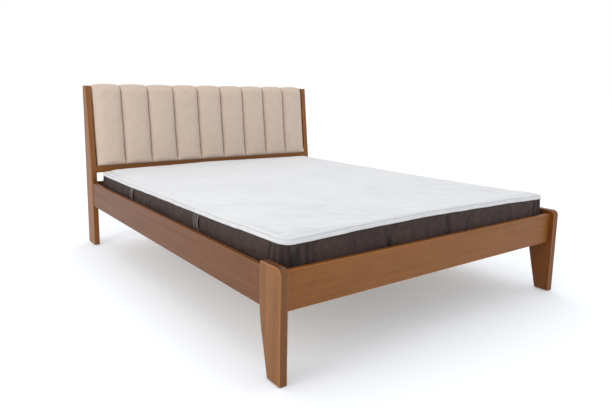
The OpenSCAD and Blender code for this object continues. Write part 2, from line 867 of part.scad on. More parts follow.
// Section of the channel pad where its swell is c, 0 at a seam and 1 on a crown.
// The outer points run from the lower back edge over the front and top to the turned-down back.
function pad_outer(c) = let (front = seam_v - channel_depth * c) [
    [foam_v, panel_w0],
    [seam_v + 6 - 6 * c, panel_w0 + soft_gap],
    [seam_v - 0.6 * channel_depth * c, panel_w0 + 8],
    [front, panel_w0 + 28],
    [front, (panel_w0 + panel_w1) / 2],
    [front, panel_w1 - 38],
    [seam_v + 2 - (channel_depth - 3) * c, panel_w1 - 16],
    [seam_v + 12 - 8 * c, panel_w1 - 3 + 4 * c],
    [(seam_v + lining_v) / 2 + 4, panel_w1 + 8 * c],
    [lining_v - 4, panel_w1 - 3 + 4 * c],
    [lining_v + 1.2, board_top + 5],
    [lining_v + 1.2, cover_end]
];

// The inner points lie on the foam sheet, the panel's upper edge and the upper batten
function pad_inner() = [
    [foam_v, panel_w0 + 4],
    [foam_v, panel_w0 + 8],
    [foam_v, panel_w0 + 14],
    [foam_v, panel_w0 + 28],
    [foam_v, (panel_w0 + panel_w1) / 2],
    [foam_v, panel_w1 - 38],
    [foam_v, board_top - 2],
    [foam_v, board_top + soft_gap],
    [board_v, board_top + soft_gap],
    [batten_v, board_top + soft_gap],
    [lining_v, board_top + soft_gap],
    [lining_v, cover_end]
];

module headboard_channel_pad() {
    n = channels * channel_parts;
    m = len(pad_inner());
    rounds = 2 * m;
    inner = pad_inner();
    points = [
        for (i = [0:n])
            let (theta = 180 * (i % channel_parts) / channel_parts)
            let (t = (floor(i / channel_parts) + (1 - cos(theta)) / 2) / channels)
            let (x = panel_half * (2 * t - 1))
            let (outer = pad_outer(sin(theta)))
            for (k = [0:rounds - 1])
                let (p = k < m ? outer[k] : inner[rounds - 1 - k])
                [x, p[0], p[1]]
    ];
    walls = [
        for (i = [0:n - 1], k = [0:rounds - 1])
            let (a = i * rounds + k, b = i * rounds + (k + 1) % rounds)
            for (f = [[a, b, b + rounds], [a, b + rounds, a + rounds]]) f
    ];
    // The end faces are ladders between the outer and the inner points
    ends = [
        for (k = [0:m - 2])
            let (a = k, b = k + 1, c = rounds - 2 - k, d = rounds - 1 - k, s = n * rounds)
            for (f = [[b, a, d], [b, d, c], [a + s, b + s, d + s], [b + s, c + s, d + s]]) f
    ];
    color(beige) leaning() polyhedron(points, concat(walls, ends), convexity = 8);
}

// Mattress

// Stations round the mattress, drawn in by d: the corners' arcs and the sides between them
function ring(d) =
    let (r = max(mattress_corner - d, 6))
    let (hx = mattress_w / 2 - d - r, hy = mattress_l / 2 - d - r)
    let (corners = [[hx, hy], [-hx, hy], [-hx, -hy], [hx, -hy]])
    [for (q = [0:3])
        let (next = corners[(q + 1) % 4])
        let (from = corners[q] + r * [cos(90 * q + 90), sin(90 * q + 90)])
        let (to = next + r * [cos(90 * q + 90), sin(90 * q + 90)])
        let (parts = q % 2 == 0 ? end_parts : side_parts)
        each concat(
            [for (j = [0:corner_parts])
                let (a = 90 * (q + j / corner_parts))
                corners[q] + r * [cos(a), sin(a)]],
            [for (j = [1:parts - 1]) from + (to - from) * j / parts]
        )];

// Height of the upper tape over its corners at the foot: at the share t of a long side, counted
// from the foot, and at the share t of the foot's width
function side_rise(t) = -head_drop * t - tape_dip * (1 - pow(abs(2 * t - 1), 3));
function end_rise(t) = tape_lift * sin(180 * t);

// The same height at each station of a ring
function tape_rises() = [
    for (q = [0:3])
        let (parts = q % 2 == 0 ? end_parts : side_parts)
        let (corner = q < 2 ? -head_drop : 0)
        each concat(
            [for (j = [0:corner_parts]) corner],
            [for (j = [1:parts - 1])
                let (t = j / parts)
                q % 2 == 0 ? corner + end_rise(t) : side_rise(q == 1 ? 1 - t : t)]
        )
];

// Closed skin from rings of equal length, the first at the bottom; both ends close on a middle point
function skin_faces(rings, n) = concat(
    [for (i = [0:rings - 2], k = [0:n - 1])
        let (a = i * n + k, b = i * n + (k + 1) % n)
        for (f = [[a, b + n, b], [a, a + n, b + n]]) f],
    [for (k = [0:n - 1]) [rings * n, k, (k + 1) % n]],
    [for (k = [0:n - 1]) [rings * n + 1, (rings - 1) * n + (k + 1) % n, (rings - 1) * n + k]]
);

// Band round the mattress from a closed section: the rings follow each other round the section
function band_faces(rings, n) = [
    for (i = [0:rings - 1], k = [0:n - 1])
        let (j = (i + 1) % rings)
        let (a = i * n + k, b = i * n + (k + 1) % n, c = j * n + (k + 1) % n, d = j * n + k)
        for (f = [[a, c, b], [a, d, c]]) f
];

module on_mattress() {
    translate([0, mattress_y + mattress_l / 2, 0]) children();
}

tape_z = mattress_top - tape_drop;

// Crowned top of the quilt at the distance d from the edge
function quilt_crown(d) = mattress_top - 2 + mattress_crown * (1 - exp(-d / 160));

module mattress_quilted_top() {
    rises = tape_rises();
    n = len(rises);
    in_border = border_t + soft_gap;
    in_tape = tape_t + soft_gap;
    // Each ring: distance from the edge, height over the tape's lower edge, share of the crown
    rings = [
        [in_border, quilt_z - tape_z, -1], [in_border, soft_gap, 0], [in_tape, soft_gap, 0],
        [in_tape, tape_h, 0], [1.5, tape_h + 2, 0], [3, tape_h + 7, 0],
        [12, tape_h + 9, 0.7], [32, tape_h + 9, 0.95], [70, 0, 1], [140, 0, 1],
        [260, 0, 1], [450, 0, 1], [mattress_w / 2 - 20, 0, 1]
    ];
    points = concat(
        [for (g = rings)
            let (path = ring(g[0]))
            for (k = [0:n - 1])
                let (over = tape_z + g[1] + (g[2] < 0 ? 0 : rises[k]))
                let (share = max(0, g[2]))
                [path[k][0], path[k][1], over * (1 - share) + quilt_crown(g[0]) * share]],
        [[0, 0, quilt_z], [0, 0, quilt_crown(mattress_w / 2)]]
    );
    color(white) on_mattress() polyhedron(points, skin_faces(len(rings), n), convexity = 6);
}

module mattress_border() {
    rises = tape_rises();
    n = len(rises);
    low = mattress_z + tape_h;
    // Each ring: distance from the edge, share of the height between the tapes
    rings = [
        [border_t, 0], [border_swell, 0], [border_swell * 0.3, 0.2], [0, 0.5],
        [border_swell * 0.3, 0.8], [border_swell, 1], [border_t, 1], [border_t, 0.5]
    ];
    points = [
        for (g = rings)
            let (path = ring(g[0]))
            for (k = [0:n - 1]) [path[k][0], path[k][1], low + (tape_z + rises[k] - low) * g[1]]
    ];
    color(border_brown) on_mattress() polyhedron(points, band_faces(len(rings), n), convexity = 6);
}

module mattress_top_tape() {
    rises = tape_rises();
    n = len(rises);
    // Each ring: distance from the edge, height over the tape's lower edge
    rings = [[tape_t, 0], [1.5, 0], [0, tape_h * 0.3], [0, tape_h * 0.7], [1.5, tape_h], [tape_t, tape_h]];
    points = [
        for (g = rings)
            let (path = ring(g[0]))
            for (k = [0:n - 1]) [path[k][0], path[k][1], tape_z + rises[k] + g[1]]
    ];
    color(tape_white) on_mattress() polyhedron(points, band_faces(len(rings), n), convexity = 6);
}

// Flat layer of the mattress, drawn in by d, from height z up by t. Its corners are a little
// rounder than the border's, so that they clear the flats of the border's inner wall.
module layer(d, z, t) {
    on_mattress()
        translate([d - mattress_w / 2, d - mattress_l / 2, z])
            linear_extrude(t)
                soft_square(mattress_w - 2 * d, mattress_l - 2 * d, mattress_corner - d + corner_ease);
}

module mattress_bottom_tape() {
    color(tape_white) difference() {
        layer(0, mattress_z, tape_h);
        layer(tape_t, mattress_z - 1, tape_h + 2);
    }
}

// Layer that fills the border
module filling(z, t) { color(foam) layer(border_t + soft_gap, z, t); }

module mattress_bottom_panel() { color(grey) layer(tape_t + soft_gap, mattress_z, bottom_panel_t); }
module mattress_base_foam() { filling(core_z - base_foam_t, base_foam_t); }
module mattress_core() { filling(core_z, core_t); }
module mattress_comfort_foam() { filling(comfort_z, comfort_foam_t); }

// Strap sewn on at its upper and lower ends and bowed out between them
module handle_strap() {
    out = [
        for (k = [0:bow_parts])
            let (sewn = k == bow_parts ? border_swell - soft_gap : 0)
            [sewn - handle_bow * sin(180 * k / bow_parts), handle_h * k / bow_parts]
    ];
    back = [for (k = [bow_parts:-1:0]) out[k] + [handle_t, 0]];
    rotate([90, 0, 0]) linear_extrude(handle_w) polygon(concat(back, [for (k = [0:bow_parts]) out[k]]));
}

module mattress_handles() {
    color(handle_brown) both_sides()
        for (i = [0, 1]) {
            along = handle_foot + i * handle_spacing;
            share = (along - mattress_corner) / (mattress_l - 2 * mattress_corner);
            top = tape_z + side_rise(share) - 1.5;
            translate([-mattress_w / 2 - handle_t, mattress_y + along + handle_w / 2, top - handle_h])
                handle_strap();
        }
}

front_leg_left();
front_leg_right();
back_post_left();
back_post_right();
side_rail_left();
side_rail_right();
foot_rail();
head_rail();
foot_rail_dowels();
head_rail_dowels();
rail_hook_plates();
post_slot_plates();
hook_plate_screws();
slot_plate_screws();
felt_pads();
ledger_left();
ledger_right();
ledger_screws();
centre_beam();
beam_brackets();
beam_bracket_screws();
centre_leg_foot_end();
centre_leg_head_end();
centre_leg_screws();
centre_leg_glides();
slats_left();
slats_right();
side_slat_holders();
centre_slat_holders();
headboard_rail();
headboard_rail_dowels();
headboard_panel();
headboard_battens();
headboard_uprights();
headboard_foam();
headboard_channel_pad();
headboard_lining();
headboard_brackets();
headboard_bracket_screws();
headboard_rail_screws();
mattress_core();
mattress_base_foam();
mattress_comfort_foam();
mattress_border();
mattress_quilted_top();
mattress_bottom_panel();
mattress_top_tape();
mattress_bottom_tape();
mattress_handles();
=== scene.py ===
"""The looks of the double bed: stained beech frame, channelled headboard and quilted mattress.

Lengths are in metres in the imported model's frame: +X to the right seen from the foot of the bed,
+Y from the foot to the head, +Z up, and the origin on the floor in the middle of the footprint.
"""
import logging
import math
from dataclasses import dataclass, replace
from enum import Enum
from typing import Callable, Iterable, Sequence

import bmesh
import bpy
import numpy as np
from mathutils import Matrix, Vector, noise


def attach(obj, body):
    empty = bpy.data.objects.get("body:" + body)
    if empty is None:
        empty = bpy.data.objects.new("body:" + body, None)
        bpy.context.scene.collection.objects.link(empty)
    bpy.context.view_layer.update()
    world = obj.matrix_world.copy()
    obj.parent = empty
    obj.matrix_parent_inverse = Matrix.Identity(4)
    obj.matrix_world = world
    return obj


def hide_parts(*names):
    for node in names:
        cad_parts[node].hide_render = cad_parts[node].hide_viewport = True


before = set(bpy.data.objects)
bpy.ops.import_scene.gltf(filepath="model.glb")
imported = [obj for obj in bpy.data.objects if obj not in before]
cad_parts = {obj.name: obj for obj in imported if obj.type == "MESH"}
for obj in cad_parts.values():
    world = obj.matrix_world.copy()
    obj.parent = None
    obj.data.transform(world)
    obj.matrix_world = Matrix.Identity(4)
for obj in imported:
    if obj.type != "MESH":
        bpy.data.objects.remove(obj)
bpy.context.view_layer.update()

logging.basicConfig(level=logging.INFO, format="%(message)s")
log = logging.getLogger("bed")

MM = 0.001
# The headboard's channels and the half of its width, which the seams in its cloth share
CHANNELS = 9
PANEL_HALF = 807 * MM
# The way that the creases of the mattress's top lie, for its shape and its finish
CREASE_TURN = math.radians(-36)
# Steps of the cloth simulation
CLOTH_STEPS = 20

Tree = bpy.types.NodeTree
Socket = bpy.types.NodeSocket
Colour = tuple[float, float, float, float]
# Functions of a point's number, its rise and its way round, and of its number, way round and ring
Height = Callable[[int, float, float], float]
Stray = Callable[[int, float, int], float]


# Helpers for materials


def colour(code: str) -> Colour:
    """Turns an sRGB hex value into a linear colour.

    Args:
        code: Six hex digits, such as "8E6243".

    Returns:
        Red, green, blue and alpha for a shader socket.
    """
    channels = [int(code[i:i + 2], 16) / 255 for i in (0, 2, 4)]
    linear = [c / 12.92 if c <= 0.04045 else ((c + 0.055) / 1.055) ** 2.4 for c in channels]
    return (linear[0], linear[1], linear[2], 1.0)


def put(tree: Tree, kind: str, sockets: dict | None = None, **settings: object) -> bpy.types.Node:
    """Adds a node with its settings, and fills or links its input sockets.

    Args:
        tree: The node tree that the node goes into.
        kind: The node's type name after ShaderNode.
        sockets: Input socket names or numbers, each with a value or with an output to link.
        **settings: Attributes of the node itself.

    Returns:
        The new node.
    """
    node = tree.nodes.new("ShaderNode" + kind)
    for name, value in settings.items():
        setattr(node, name, value)
    for key, value in (sockets or {}).items():
        if isinstance(value, bpy.types.NodeSocket):
            tree.links.new(value, node.inputs[key])
        else:
            node.inputs[key].default_value = value
    return node


def lay_over(tree: Tree, tone: Socket | Colour, code: str, mask: Socket, start: float, full: float,
             share: float) -> Socket:
    """Lays a colour over a tone where a mask says so.

    Args:
        tree: The node tree.
        tone: Colour, or output with a colour, that lies below.
        code: sRGB hex value of the colour that lies over it.
        mask: Output that says where.
        start: The mask's value at which the colour begins to show.
        full: The mask's value at which it has its whole share.
        share: That whole share, from 0 to 1.

    Returns:
        The tone with the colour over it.
    """
    cover = put(tree, "MapRange", {"Value": mask, "From Min": start, "From Max": full, "To Max": share})
    # The node's colours are its inputs 6 and 7 and its output 2
    mixed = put(tree, "Mix", {0: cover.outputs[0], 6: tone, 7: colour(code)}, data_type="RGBA")
    return mixed.outputs[2]


class Grain(Enum):
    """The direction in which a board's fibres run."""

    ACROSS = 0
    ALONG = 1
    UPRIGHT = 2

    def pattern(self, tree: Tree, place: Socket, size_mm: tuple[float, float], detail: float,
                bend: float = 0.0, rough: float = 0.55) -> Socket:
        """Draws noise that is stretched along the fibres.

        Args:
            tree: The node tree.
            place: Output with the place on the board.
            size_mm: Size of the noise's features across and along the fibres.
            detail: How many finer layers the noise has.
            bend: How far its features bend.
            rough: How strong the finer layers are.

        Returns:
            The noise, from 0 to 1.
        """
        scales = [1000 / size_mm[0]] * 3
        scales[self.value] = 1000 / size_mm[1]
        fitted = put(tree, "Mapping", {"Vector": place, "Scale": scales})
        return put(tree, "TexNoise", {
            "Vector": fitted.outputs[0], "Scale": 1.0, "Detail": detail, "Roughness": rough,
            "Distortion": bend}).outputs[0]


# Finishes


@dataclass(frozen=True)
class Finish:
    """A finish: makes its material once and gives it to pieces."""

    name: str

    def material(self) -> bpy.types.Material:
        """Makes the material the first time that it is asked for.

        Returns:
            The material, the same one each time.
        """
        made = bpy.data.materials.get(self.name)
        if made is None:
            made = bpy.data.materials.new(self.name)
            made.use_nodes = True
            tree = made.node_tree
            tree.nodes.clear()
            put(tree, "OutputMaterial", {"Surface": self.draw(tree).outputs[0]})
        return made

    def draw(self, tree: Tree) -> bpy.types.Node:
        """Draws the finish's nodes in a material's empty tree and returns the shader."""
        raise NotImplementedError

    def dress(self, *pieces: bpy.types.Object) -> None:
        """Makes this finish the only material of some pieces.

        Args:
            *pieces: The mesh objects.
        """
        for piece in pieces:
            piece.data.materials.clear()
            piece.data.materials.append(self.material())


@dataclass(frozen=True)
class StainedBeech(Finish):
    """Planed beech with a rubbed walnut stain under satin lacquer.

    To the eye it is a warm, soft-shining brown with a quiet figure and short dark flecks; a painted highlight
    pales its worn arrises and painted shade can darken its narrow sides.
    """

    # The way that the fibres run and the way that the board's broad faces look
    grain: Grain = Grain.UPRIGHT
    broad: tuple[float, float, float] = (1.0, 0.0, 0.0)
    light: str = "805128"
    dark: str = "6B401A"
    # Dark tone of the flecks and the end grain, which also serves as painted shade on the narrow sides
    fleck_and_shade: str = "47270F"
    # Pale tone of the open pores and of the arrises, where it is worn stain and a painted highlight
    pale_and_highlight: str = "BC7F48"
    # How much painted shade darkens the narrow sides, and how strong the flecks are
    narrow: float = 0.0
    flecked: float = 0.3
    arris_radius: float = 2.5 * MM

    def stain(self, tree: Tree, place: Socket, figure: Socket) -> Socket:
        """Draws the stain as the grain has taken it up.

        Args:
            tree: The node tree.
            place: Output with the place on the board.
            figure: The growth figure, from 0 to 1.

        Returns:
            The wood's colour away from its edges.
        """
        tone = lay_over(tree, colour(self.light), self.dark, figure, 0, 1, 1)
        # Streaks of stain 4 mm wide; real ones are nearer 2 mm and would vanish in the render
        streaks = self.grain.pattern(tree, place, (4, 120), 2, 0.1)
        tone = lay_over(tree, tone, self.dark, streaks, 0.46, 0.76, 0.3)
        # Blotches where the stain has soaked in unevenly
        blotches = self.grain.pattern(tree, place, (60, 110), 3)
        tone = lay_over(tree, tone, self.light, blotches, 0.3, 0.7, 0.6)
        # Ray flecks, in life 0.3 by 3 mm, drawn at 2 by 7 mm so that they show in the render
        flecks = self.grain.pattern(tree, place, (2, 7), 1)
        tone = lay_over(tree, tone, self.fleck_and_shade, flecks, 0.52, 0.68, self.flecked)
        # Between the flecks the open pores take less stain
        pores = self.grain.pattern(tree, place, (3, 9), 1)
        return lay_over(tree, tone, self.pale_and_highlight, pores, 0.54, 0.70, 0.6 * self.flecked)

    def edges(self, tree: Tree, tone: Socket, eased: Socket) -> Socket:
        """Pales the worn arrises with a painted highlight, darkens the narrow sides with painted shade, and
        darkens the end grain.

        Args:
            tree: The node tree.
            tone: The wood's colour away from its edges.
            eased: The surface's direction, rounded over at the arrises.

        Returns:
            The wood's colour.
        """
        lean = put(tree, "VectorMath", {0: eased, 1: self.broad}, operation="DOT_PRODUCT")
        faced = put(tree, "Math", {0: lean.outputs["Value"], 1: 2.0}, operation="POWER").outputs[0]
        away = put(tree, "Math", {0: 1.0, 1: faced}, operation="SUBTRACT").outputs[0]
        turning = put(tree, "Math", {0: faced, 1: away}, operation="MULTIPLY").outputs[0]
        if self.narrow:
            # Painted shade darkens the narrow sides, which get less light than the broad faces
            tone = lay_over(tree, tone, self.fleck_and_shade, away, 0.5, 1, self.narrow)
        # The arrises, where the surface turns away from the broad faces, are paler: stain rubbed thin there,
        # and a painted highlight
        tone = lay_over(tree, tone, self.pale_and_highlight, turning, 0.05, 0.22, 0.5)
        # End grain drinks more stain
        axis = tuple(float(k == self.grain.value) for k in range(3))
        along = put(tree, "VectorMath", {0: eased, 1: axis}, operation="DOT_PRODUCT")
        end = put(tree, "Math", {0: along.outputs["Value"], 1: 2.0}, operation="POWER").outputs[0]
        return lay_over(tree, tone, self.fleck_and_shade, end, 0.6, 0.95, 0.6)

    def draw(self, tree: Tree) -> bpy.types.Node:
        """Draws the wood's nodes.

        Args:
            tree: The material's empty node tree.

        Returns:
            The wood's shader.
        """
        place = put(tree, "TexCoord").outputs["Object"]
        own = put(tree, "ObjectInfo").outputs["Random"]
        moved = put(tree, "VectorMath", {0: place, 1: own}, operation="ADD").outputs[0]
        # Growth figure some 22 mm wide, which gives each board soft light and dark bands
        growth = self.grain.pattern(tree, moved, (22, 900), 3, 0.3)
        figure = put(tree, "MapRange", {
            "Value": growth, "From Min": 0.34, "From Max": 0.66, "To Min": 0.15, "To Max": 0.85}).outputs[0]
        eased = put(tree, "Bevel", {"Radius": self.arris_radius}, samples=6).outputs[0]
        tone = self.edges(tree, self.stain(tree, moved, figure), eased)
        # Fibres 0.9 mm wide stand up a little under the lacquer; real ones are finer still
        fibre = put(tree, "Bump", {
            "Strength": 0.25, "Distance": 0.15 * MM, "Normal": eased,
            "Height": self.grain.pattern(tree, moved, (0.9, 14), 2)})
        rough = put(tree, "MapRange", {"Value": figure, "To Min": 0.42, "To Max": 0.5}).outputs[0]
        return put(tree, "BsdfPrincipled", {
            "Base Color": tone, "Roughness": rough, "IOR": 1.5, "Specular IOR Level": 0.27,
            "Coat Weight": 0.04, "Coat Roughness": 0.25, "Normal": fibre.outputs[0]})


@dataclass(frozen=True)
class PlainWood(Finish):
    """Planed or sanded wood without stain, as inside the base: pale, matt, with a fine straight grain."""

    grain: Grain = Grain.ACROSS
    light: str = "E0C49A"
    dark: str = "C9A476"

    def draw(self, tree: Tree) -> bpy.types.Node:
        """Draws the wood's nodes.

        Args:
            tree: The material's empty node tree.

        Returns:
            The wood's shader.
        """
        place = put(tree, "TexCoord").outputs["Object"]
        # Growth figure 12 mm wide
        figure = self.grain.pattern(tree, place, (12, 420), 4, 0.7, 0.5)
        # Fibres 1.2 mm wide, coarser than real ones so that they show
        fibre = self.grain.pattern(tree, place, (1.2, 30), 2, 0.0, 0.5)
        tone = lay_over(tree, colour(self.light), self.dark, figure, 0.35, 0.65, 1)
        eased = put(tree, "Bevel", {"Radius": 1.0 * MM}, samples=4)
        bump = put(tree, "Bump", {
            "Strength": 0.3, "Distance": 0.15 * MM, "Height": fibre, "Normal": eased.outputs[0]})
        return put(tree, "BsdfPrincipled", {
            "Base Color": tone, "Roughness": 0.62, "IOR": 1.5, "Normal": bump.outputs[0]})


@dataclass(frozen=True)
class WovenCloth(Finish):
    """Cloth woven from two sets of threads, drawn along the piece's own UV lengths in metres.

    To the eye it is matt and faintly mottled, with a soft bloom at its turned edges.
    """

    light: str = "CAB7A8"
    dark: str = "C3B0A0"
    # Threads some two to three times as wide as real ones, so that they show
    thread_mm: float = 1.6
    relief_mm: float = 0.25
    rough: float = 0.88
    sheen: float = 0.1
    mottle_mm: float = 45.0
    # Distance of the sewn seams, or 0 for none, and half the width and the colour of their dark line of
    # thread and painted shade
    seam_every: float = 0.0
    seam_half: float = 2.6 * MM
    seam_thread_and_shade: str = "5E4C40"
    # How far the folds are shaded, and towards which colour
    fold_share: float = 0.0
    fold_tone: str = "120B0A"
    # Where the selvedges begin, off the webbing's middle, or 0 for none, and their paler colour, which is
    # partly a painted highlight
    hem_from: float = 0.0
    hem_and_highlight: str = "8A7C76"

    def threads(self, tree: Tree, lengths: Socket) -> Socket:
        """Draws the weave.

        Args:
            tree: The node tree.
            lengths: Output with the flat lengths along the cloth.

        Returns:
            The weave's height, from 0 to 1.
        """
        # One wave of the pattern is one thread; 3.18 waves per metre come with a scale of 1
        waves = {"Vector": lengths, "Scale": 1000 / self.thread_mm / 3.183, "Distortion": 0.6, "Detail": 1.0,
                 "Detail Scale": 0.4}
        warp = put(tree, "TexWave", waves, bands_direction="X").outputs["Fac"]
        weft = put(tree, "TexWave", waves, bands_direction="Y").outputs["Fac"]
        return put(tree, "Math", {0: warp, 1: weft}, operation="MULTIPLY").outputs[0]

    def draw(self, tree: Tree) -> bpy.types.Node:
        """Draws the cloth's nodes.

        Args:
            tree: The material's empty node tree.

        Returns:
            The cloth's shader.
        """
        lengths = put(tree, "TexCoord").outputs["UV"]
        place = put(tree, "TexCoord").outputs["Object"]
        weave = self.threads(tree, lengths)
        # The yarn's slubs mottle the cloth, and the gaps between its threads are dark
        slubs = put(tree, "TexNoise", {
            "Vector": place, "Scale": 1000 / self.mottle_mm, "Detail": 5.0, "Roughness": 0.6})
        tone = lay_over(tree, colour(self.light), self.dark, slubs.outputs[0], 0.32, 0.68, 1)
        tone = lay_over(tree, tone, self.dark, weave, 0.5, 0, 0.22)
        across = put(tree, "SeparateXYZ", {"Vector": lengths}).outputs["X"]
        if self.seam_every:
            # The sewing thread and painted shade in the pinched seam make a thin dark line
            off = put(tree, "Math", {0: across, 1: self.seam_every / 2}, operation="PINGPONG")
            tone = lay_over(tree, tone, self.seam_thread_and_shade, off.outputs[0], self.seam_half, 0, 0.7)
        if self.fold_share:
            # Less light gets down into the folds
            fold = put(tree, "Attribute", attribute_name="fold").outputs["Fac"]
            tone = lay_over(tree, tone, self.fold_tone, fold, 0, 1, self.fold_share)
        if self.hem_from:
            # Paler selvedges: woven closer, and with a painted highlight on them
            off = put(tree, "Math", {0: across}, operation="ABSOLUTE").outputs[0]
            tone = lay_over(tree, tone, self.hem_and_highlight, off, self.hem_from, self.hem_from + 1.5 * MM, 1)
        bump = put(tree, "Bump", {"Strength": 0.6, "Distance": self.relief_mm * MM, "Height": weave})
        return put(tree, "BsdfPrincipled", {
            "Base Color": tone, "Roughness": self.rough, "IOR": 1.5, "Normal": bump.outputs[0],
            "Sheen Weight": self.sheen, "Sheen Roughness": 0.5})


@dataclass(frozen=True)
class KnittedTicking(Finish):
    """Knitted polyester ticking over wadding: white, soft and slightly pilled, with small slack creases."""

    light: str = "CED0D3"
    dark: str = "C8CACE"
    # Loops about twice as wide as real ones, so that they show
    knit_mm: float = 2.0
    cloud_mm: float = 200.0
    # Width and length of the fine creases
    crease_mm: tuple[float, float] = (6.0, 60.0)
    crease_turn: float = CREASE_TURN
    fold_tone: str = "A3A4A6"

    def fine_creases(self, tree: Tree, place: Socket) -> Socket:
        """Draws the creases that are too fine for the mesh.

        Args:
            tree: The node tree.
            place: Output with the place on the mattress.

        Returns:
            Their depth, from 0 to 1.
        """
        # They lie across the bed at 36 degrees, as the cloth was pulled over the corner
        across, along = (size * MM for size in self.crease_mm)
        turned = put(tree, "Mapping", {
            "Vector": place, "Rotation": (0, 0, self.crease_turn), "Scale": (along, across, along)},
            vector_type="TEXTURE")
        soft = put(tree, "TexNoise", {
            "Vector": turned.outputs[0], "Scale": 1.0, "Detail": 2.0, "Distortion": 0.3})
        crease = put(tree, "MapRange", {"Value": soft.outputs[0], "From Min": 0.52, "From Max": 0.74})
        # They are deeper towards the foot, where the cloth has the most slack
        up_bed = put(tree, "SeparateXYZ", {"Vector": place}).outputs["Y"]
        slack = put(tree, "MapRange", {"Value": up_bed, "From Min": 0.5, "From Max": -0.6, "To Min": 0.2})
        return put(tree, "Math", {0: crease.outputs[0], 1: slack.outputs[0]}, operation="MULTIPLY").outputs[0]

    def draw(self, tree: Tree) -> bpy.types.Node:
        """Draws the ticking's nodes.

        Args:
            tree: The material's empty node tree.

        Returns:
            The ticking's shader.
        """
        place = put(tree, "TexCoord").outputs["Object"]
        knit = put(tree, "TexVoronoi", {"Vector": place, "Scale": 1000 / self.knit_mm})
        # Broad clouds, where the wadding lies thicker or thinner
        clouds = put(tree, "TexNoise", {"Vector": place, "Scale": 1000 / self.cloud_mm, "Detail": 3.0})
        tone = lay_over(tree, colour(self.light), self.dark, clouds.outputs[0], 0.3, 0.7, 1)
        # Painted shade darkens the creases, and most of all the groove behind the tape
        fold = put(tree, "Attribute", attribute_name="fold").outputs["Fac"]
        tone = lay_over(tree, tone, self.fold_tone, fold, 0, 1, 1)
        folds = put(tree, "Bump", {
            "Strength": 0.5, "Distance": 1.5 * MM, "Height": self.fine_creases(tree, place)}, invert=True)
        bump = put(tree, "Bump", {
            "Strength": 0.3, "Distance": 0.3 * MM, "Height": knit.outputs["Distance"],
            "Normal": folds.outputs[0]})
        return put(tree, "BsdfPrincipled", {
            "Base Color": tone, "Roughness": 0.9, "IOR": 1.5, "Normal": bump.outputs[0],
            "Sheen Weight": 0.2, "Sheen Roughness": 0.6})


@dataclass(frozen=True)
class Metal(Finish):
    """Zinc-plated steel, rolled or turned: a cool grey with fine scuffs."""

    tint: str = "B9BBBE"
    rough: float = 0.38
    scuff_mm: float = 4.17

    def draw(self, tree: Tree) -> bpy.types.Node:
        """Draws the plated steel's nodes.

        Args:
            tree: The material's empty node tree.

        Returns:
            The steel's shader.
        """
        place = put(tree, "TexCoord").outputs["Object"]
        scuffs = put(tree, "TexNoise", {"Vector": place, "Scale": 1000 / self.scuff_mm, "Detail": 4.0})
        rough = put(tree, "MapRange", {
            "Value": scuffs.outputs[0], "From Min": 0.3, "From Max": 0.7, "To Min": self.rough - 0.08,
            "To Max": self.rough + 0.12})
        return put(tree, "BsdfPrincipled", {
            "Base Color": colour(self.tint), "Metallic": 1.0, "Roughness": rough.outputs[0]})


@dataclass(frozen=True)
class MattCoat(Finish):
    """An even matt surface with a fine grain: powder coat on steel, or moulded plastic."""

    tint: str = "2A2A2C"
    # Pimples about three times as wide as real ones, so that they show
    grain_mm: float = 1.2
    rough: float = 0.55

    def draw(self, tree: Tree) -> bpy.types.Node:
        """Draws the coat's nodes.

        Args:
            tree: The material's empty node tree.

        Returns:
            The coat's shader.
        """
        place = put(tree, "TexCoord").outputs["Object"]
        pimples = put(tree, "TexNoise", {"Vector": place, "Scale": 1000 / self.grain_mm, "Detail": 2.0})
        bump = put(tree, "Bump", {"Strength": 0.25, "Distance": 0.1 * MM, "Height": pimples.outputs[0]})
        return put(tree, "BsdfPrincipled", {
            "Base Color": colour(self.tint), "Roughness": self.rough, "IOR": 1.5, "Normal": bump.outputs[0]})


@dataclass(frozen=True)
class Fleece(Finish):
    """Pressed felt, bonded lining cloth or cut foam: matt, with tangled fibres or small cells."""

    light: str = "4A4846"
    dark: str = "383635"
    cell_mm: float = 2.5

    def draw(self, tree: Tree) -> bpy.types.Node:
        """Draws the nodes of the fibres or cells.

        Args:
            tree: The material's empty node tree.

        Returns:
            The fleece's shader.
        """
        place = put(tree, "TexCoord").outputs["Object"]
        cells = put(tree, "TexNoise", {
            "Vector": place, "Scale": 1000 / self.cell_mm, "Detail": 5.0, "Roughness": 0.7}).outputs[0]
        tone = lay_over(tree, colour(self.light), self.dark, cells, 0.35, 0.65, 1)
        bump = put(tree, "Bump", {"Strength": 0.5, "Distance": 0.4 * MM, "Height": cells})
        return put(tree, "BsdfPrincipled", {
            "Base Color": tone, "Roughness": 0.95, "IOR": 1.45, "Normal": bump.outputs[0],
            "Sheen Weight": 0.15})


# Beech boards, planed and stained: the same warm brown, a little darker or paler from board to board, and
# darker on the right front leg as painted shade
LEG_BEECH = StainedBeech("beech_upright_walnut_stain", light="865729", dark="613913", narrow=0.35)
POST_BEECH = StainedBeech("beech_post_walnut_stain", light="87562A", dark="72461D")
# Painted shade: the right front leg's copy of the stain is darker, for the less light that reaches it
SHADED_LEG_BEECH = StainedBeech(
    "beech_upright_walnut_stain_painted_shade", light="713F0C", dark="5C2F07", narrow=0.2)
SIDE_BEECH = StainedBeech(
    "beech_side_rail_walnut_stain", grain=Grain.ALONG, light="6A3C12", dark="58310C", fleck_and_shade="40210A",
    pale_and_highlight="A06A38", flecked=0.4)
CROSS_BEECH = StainedBeech(
    "beech_cross_rail_walnut_stain", grain=Grain.ACROSS, broad=(0.0, 1.0, 0.0), light="86521E",
    dark="734516", flecked=0.16)
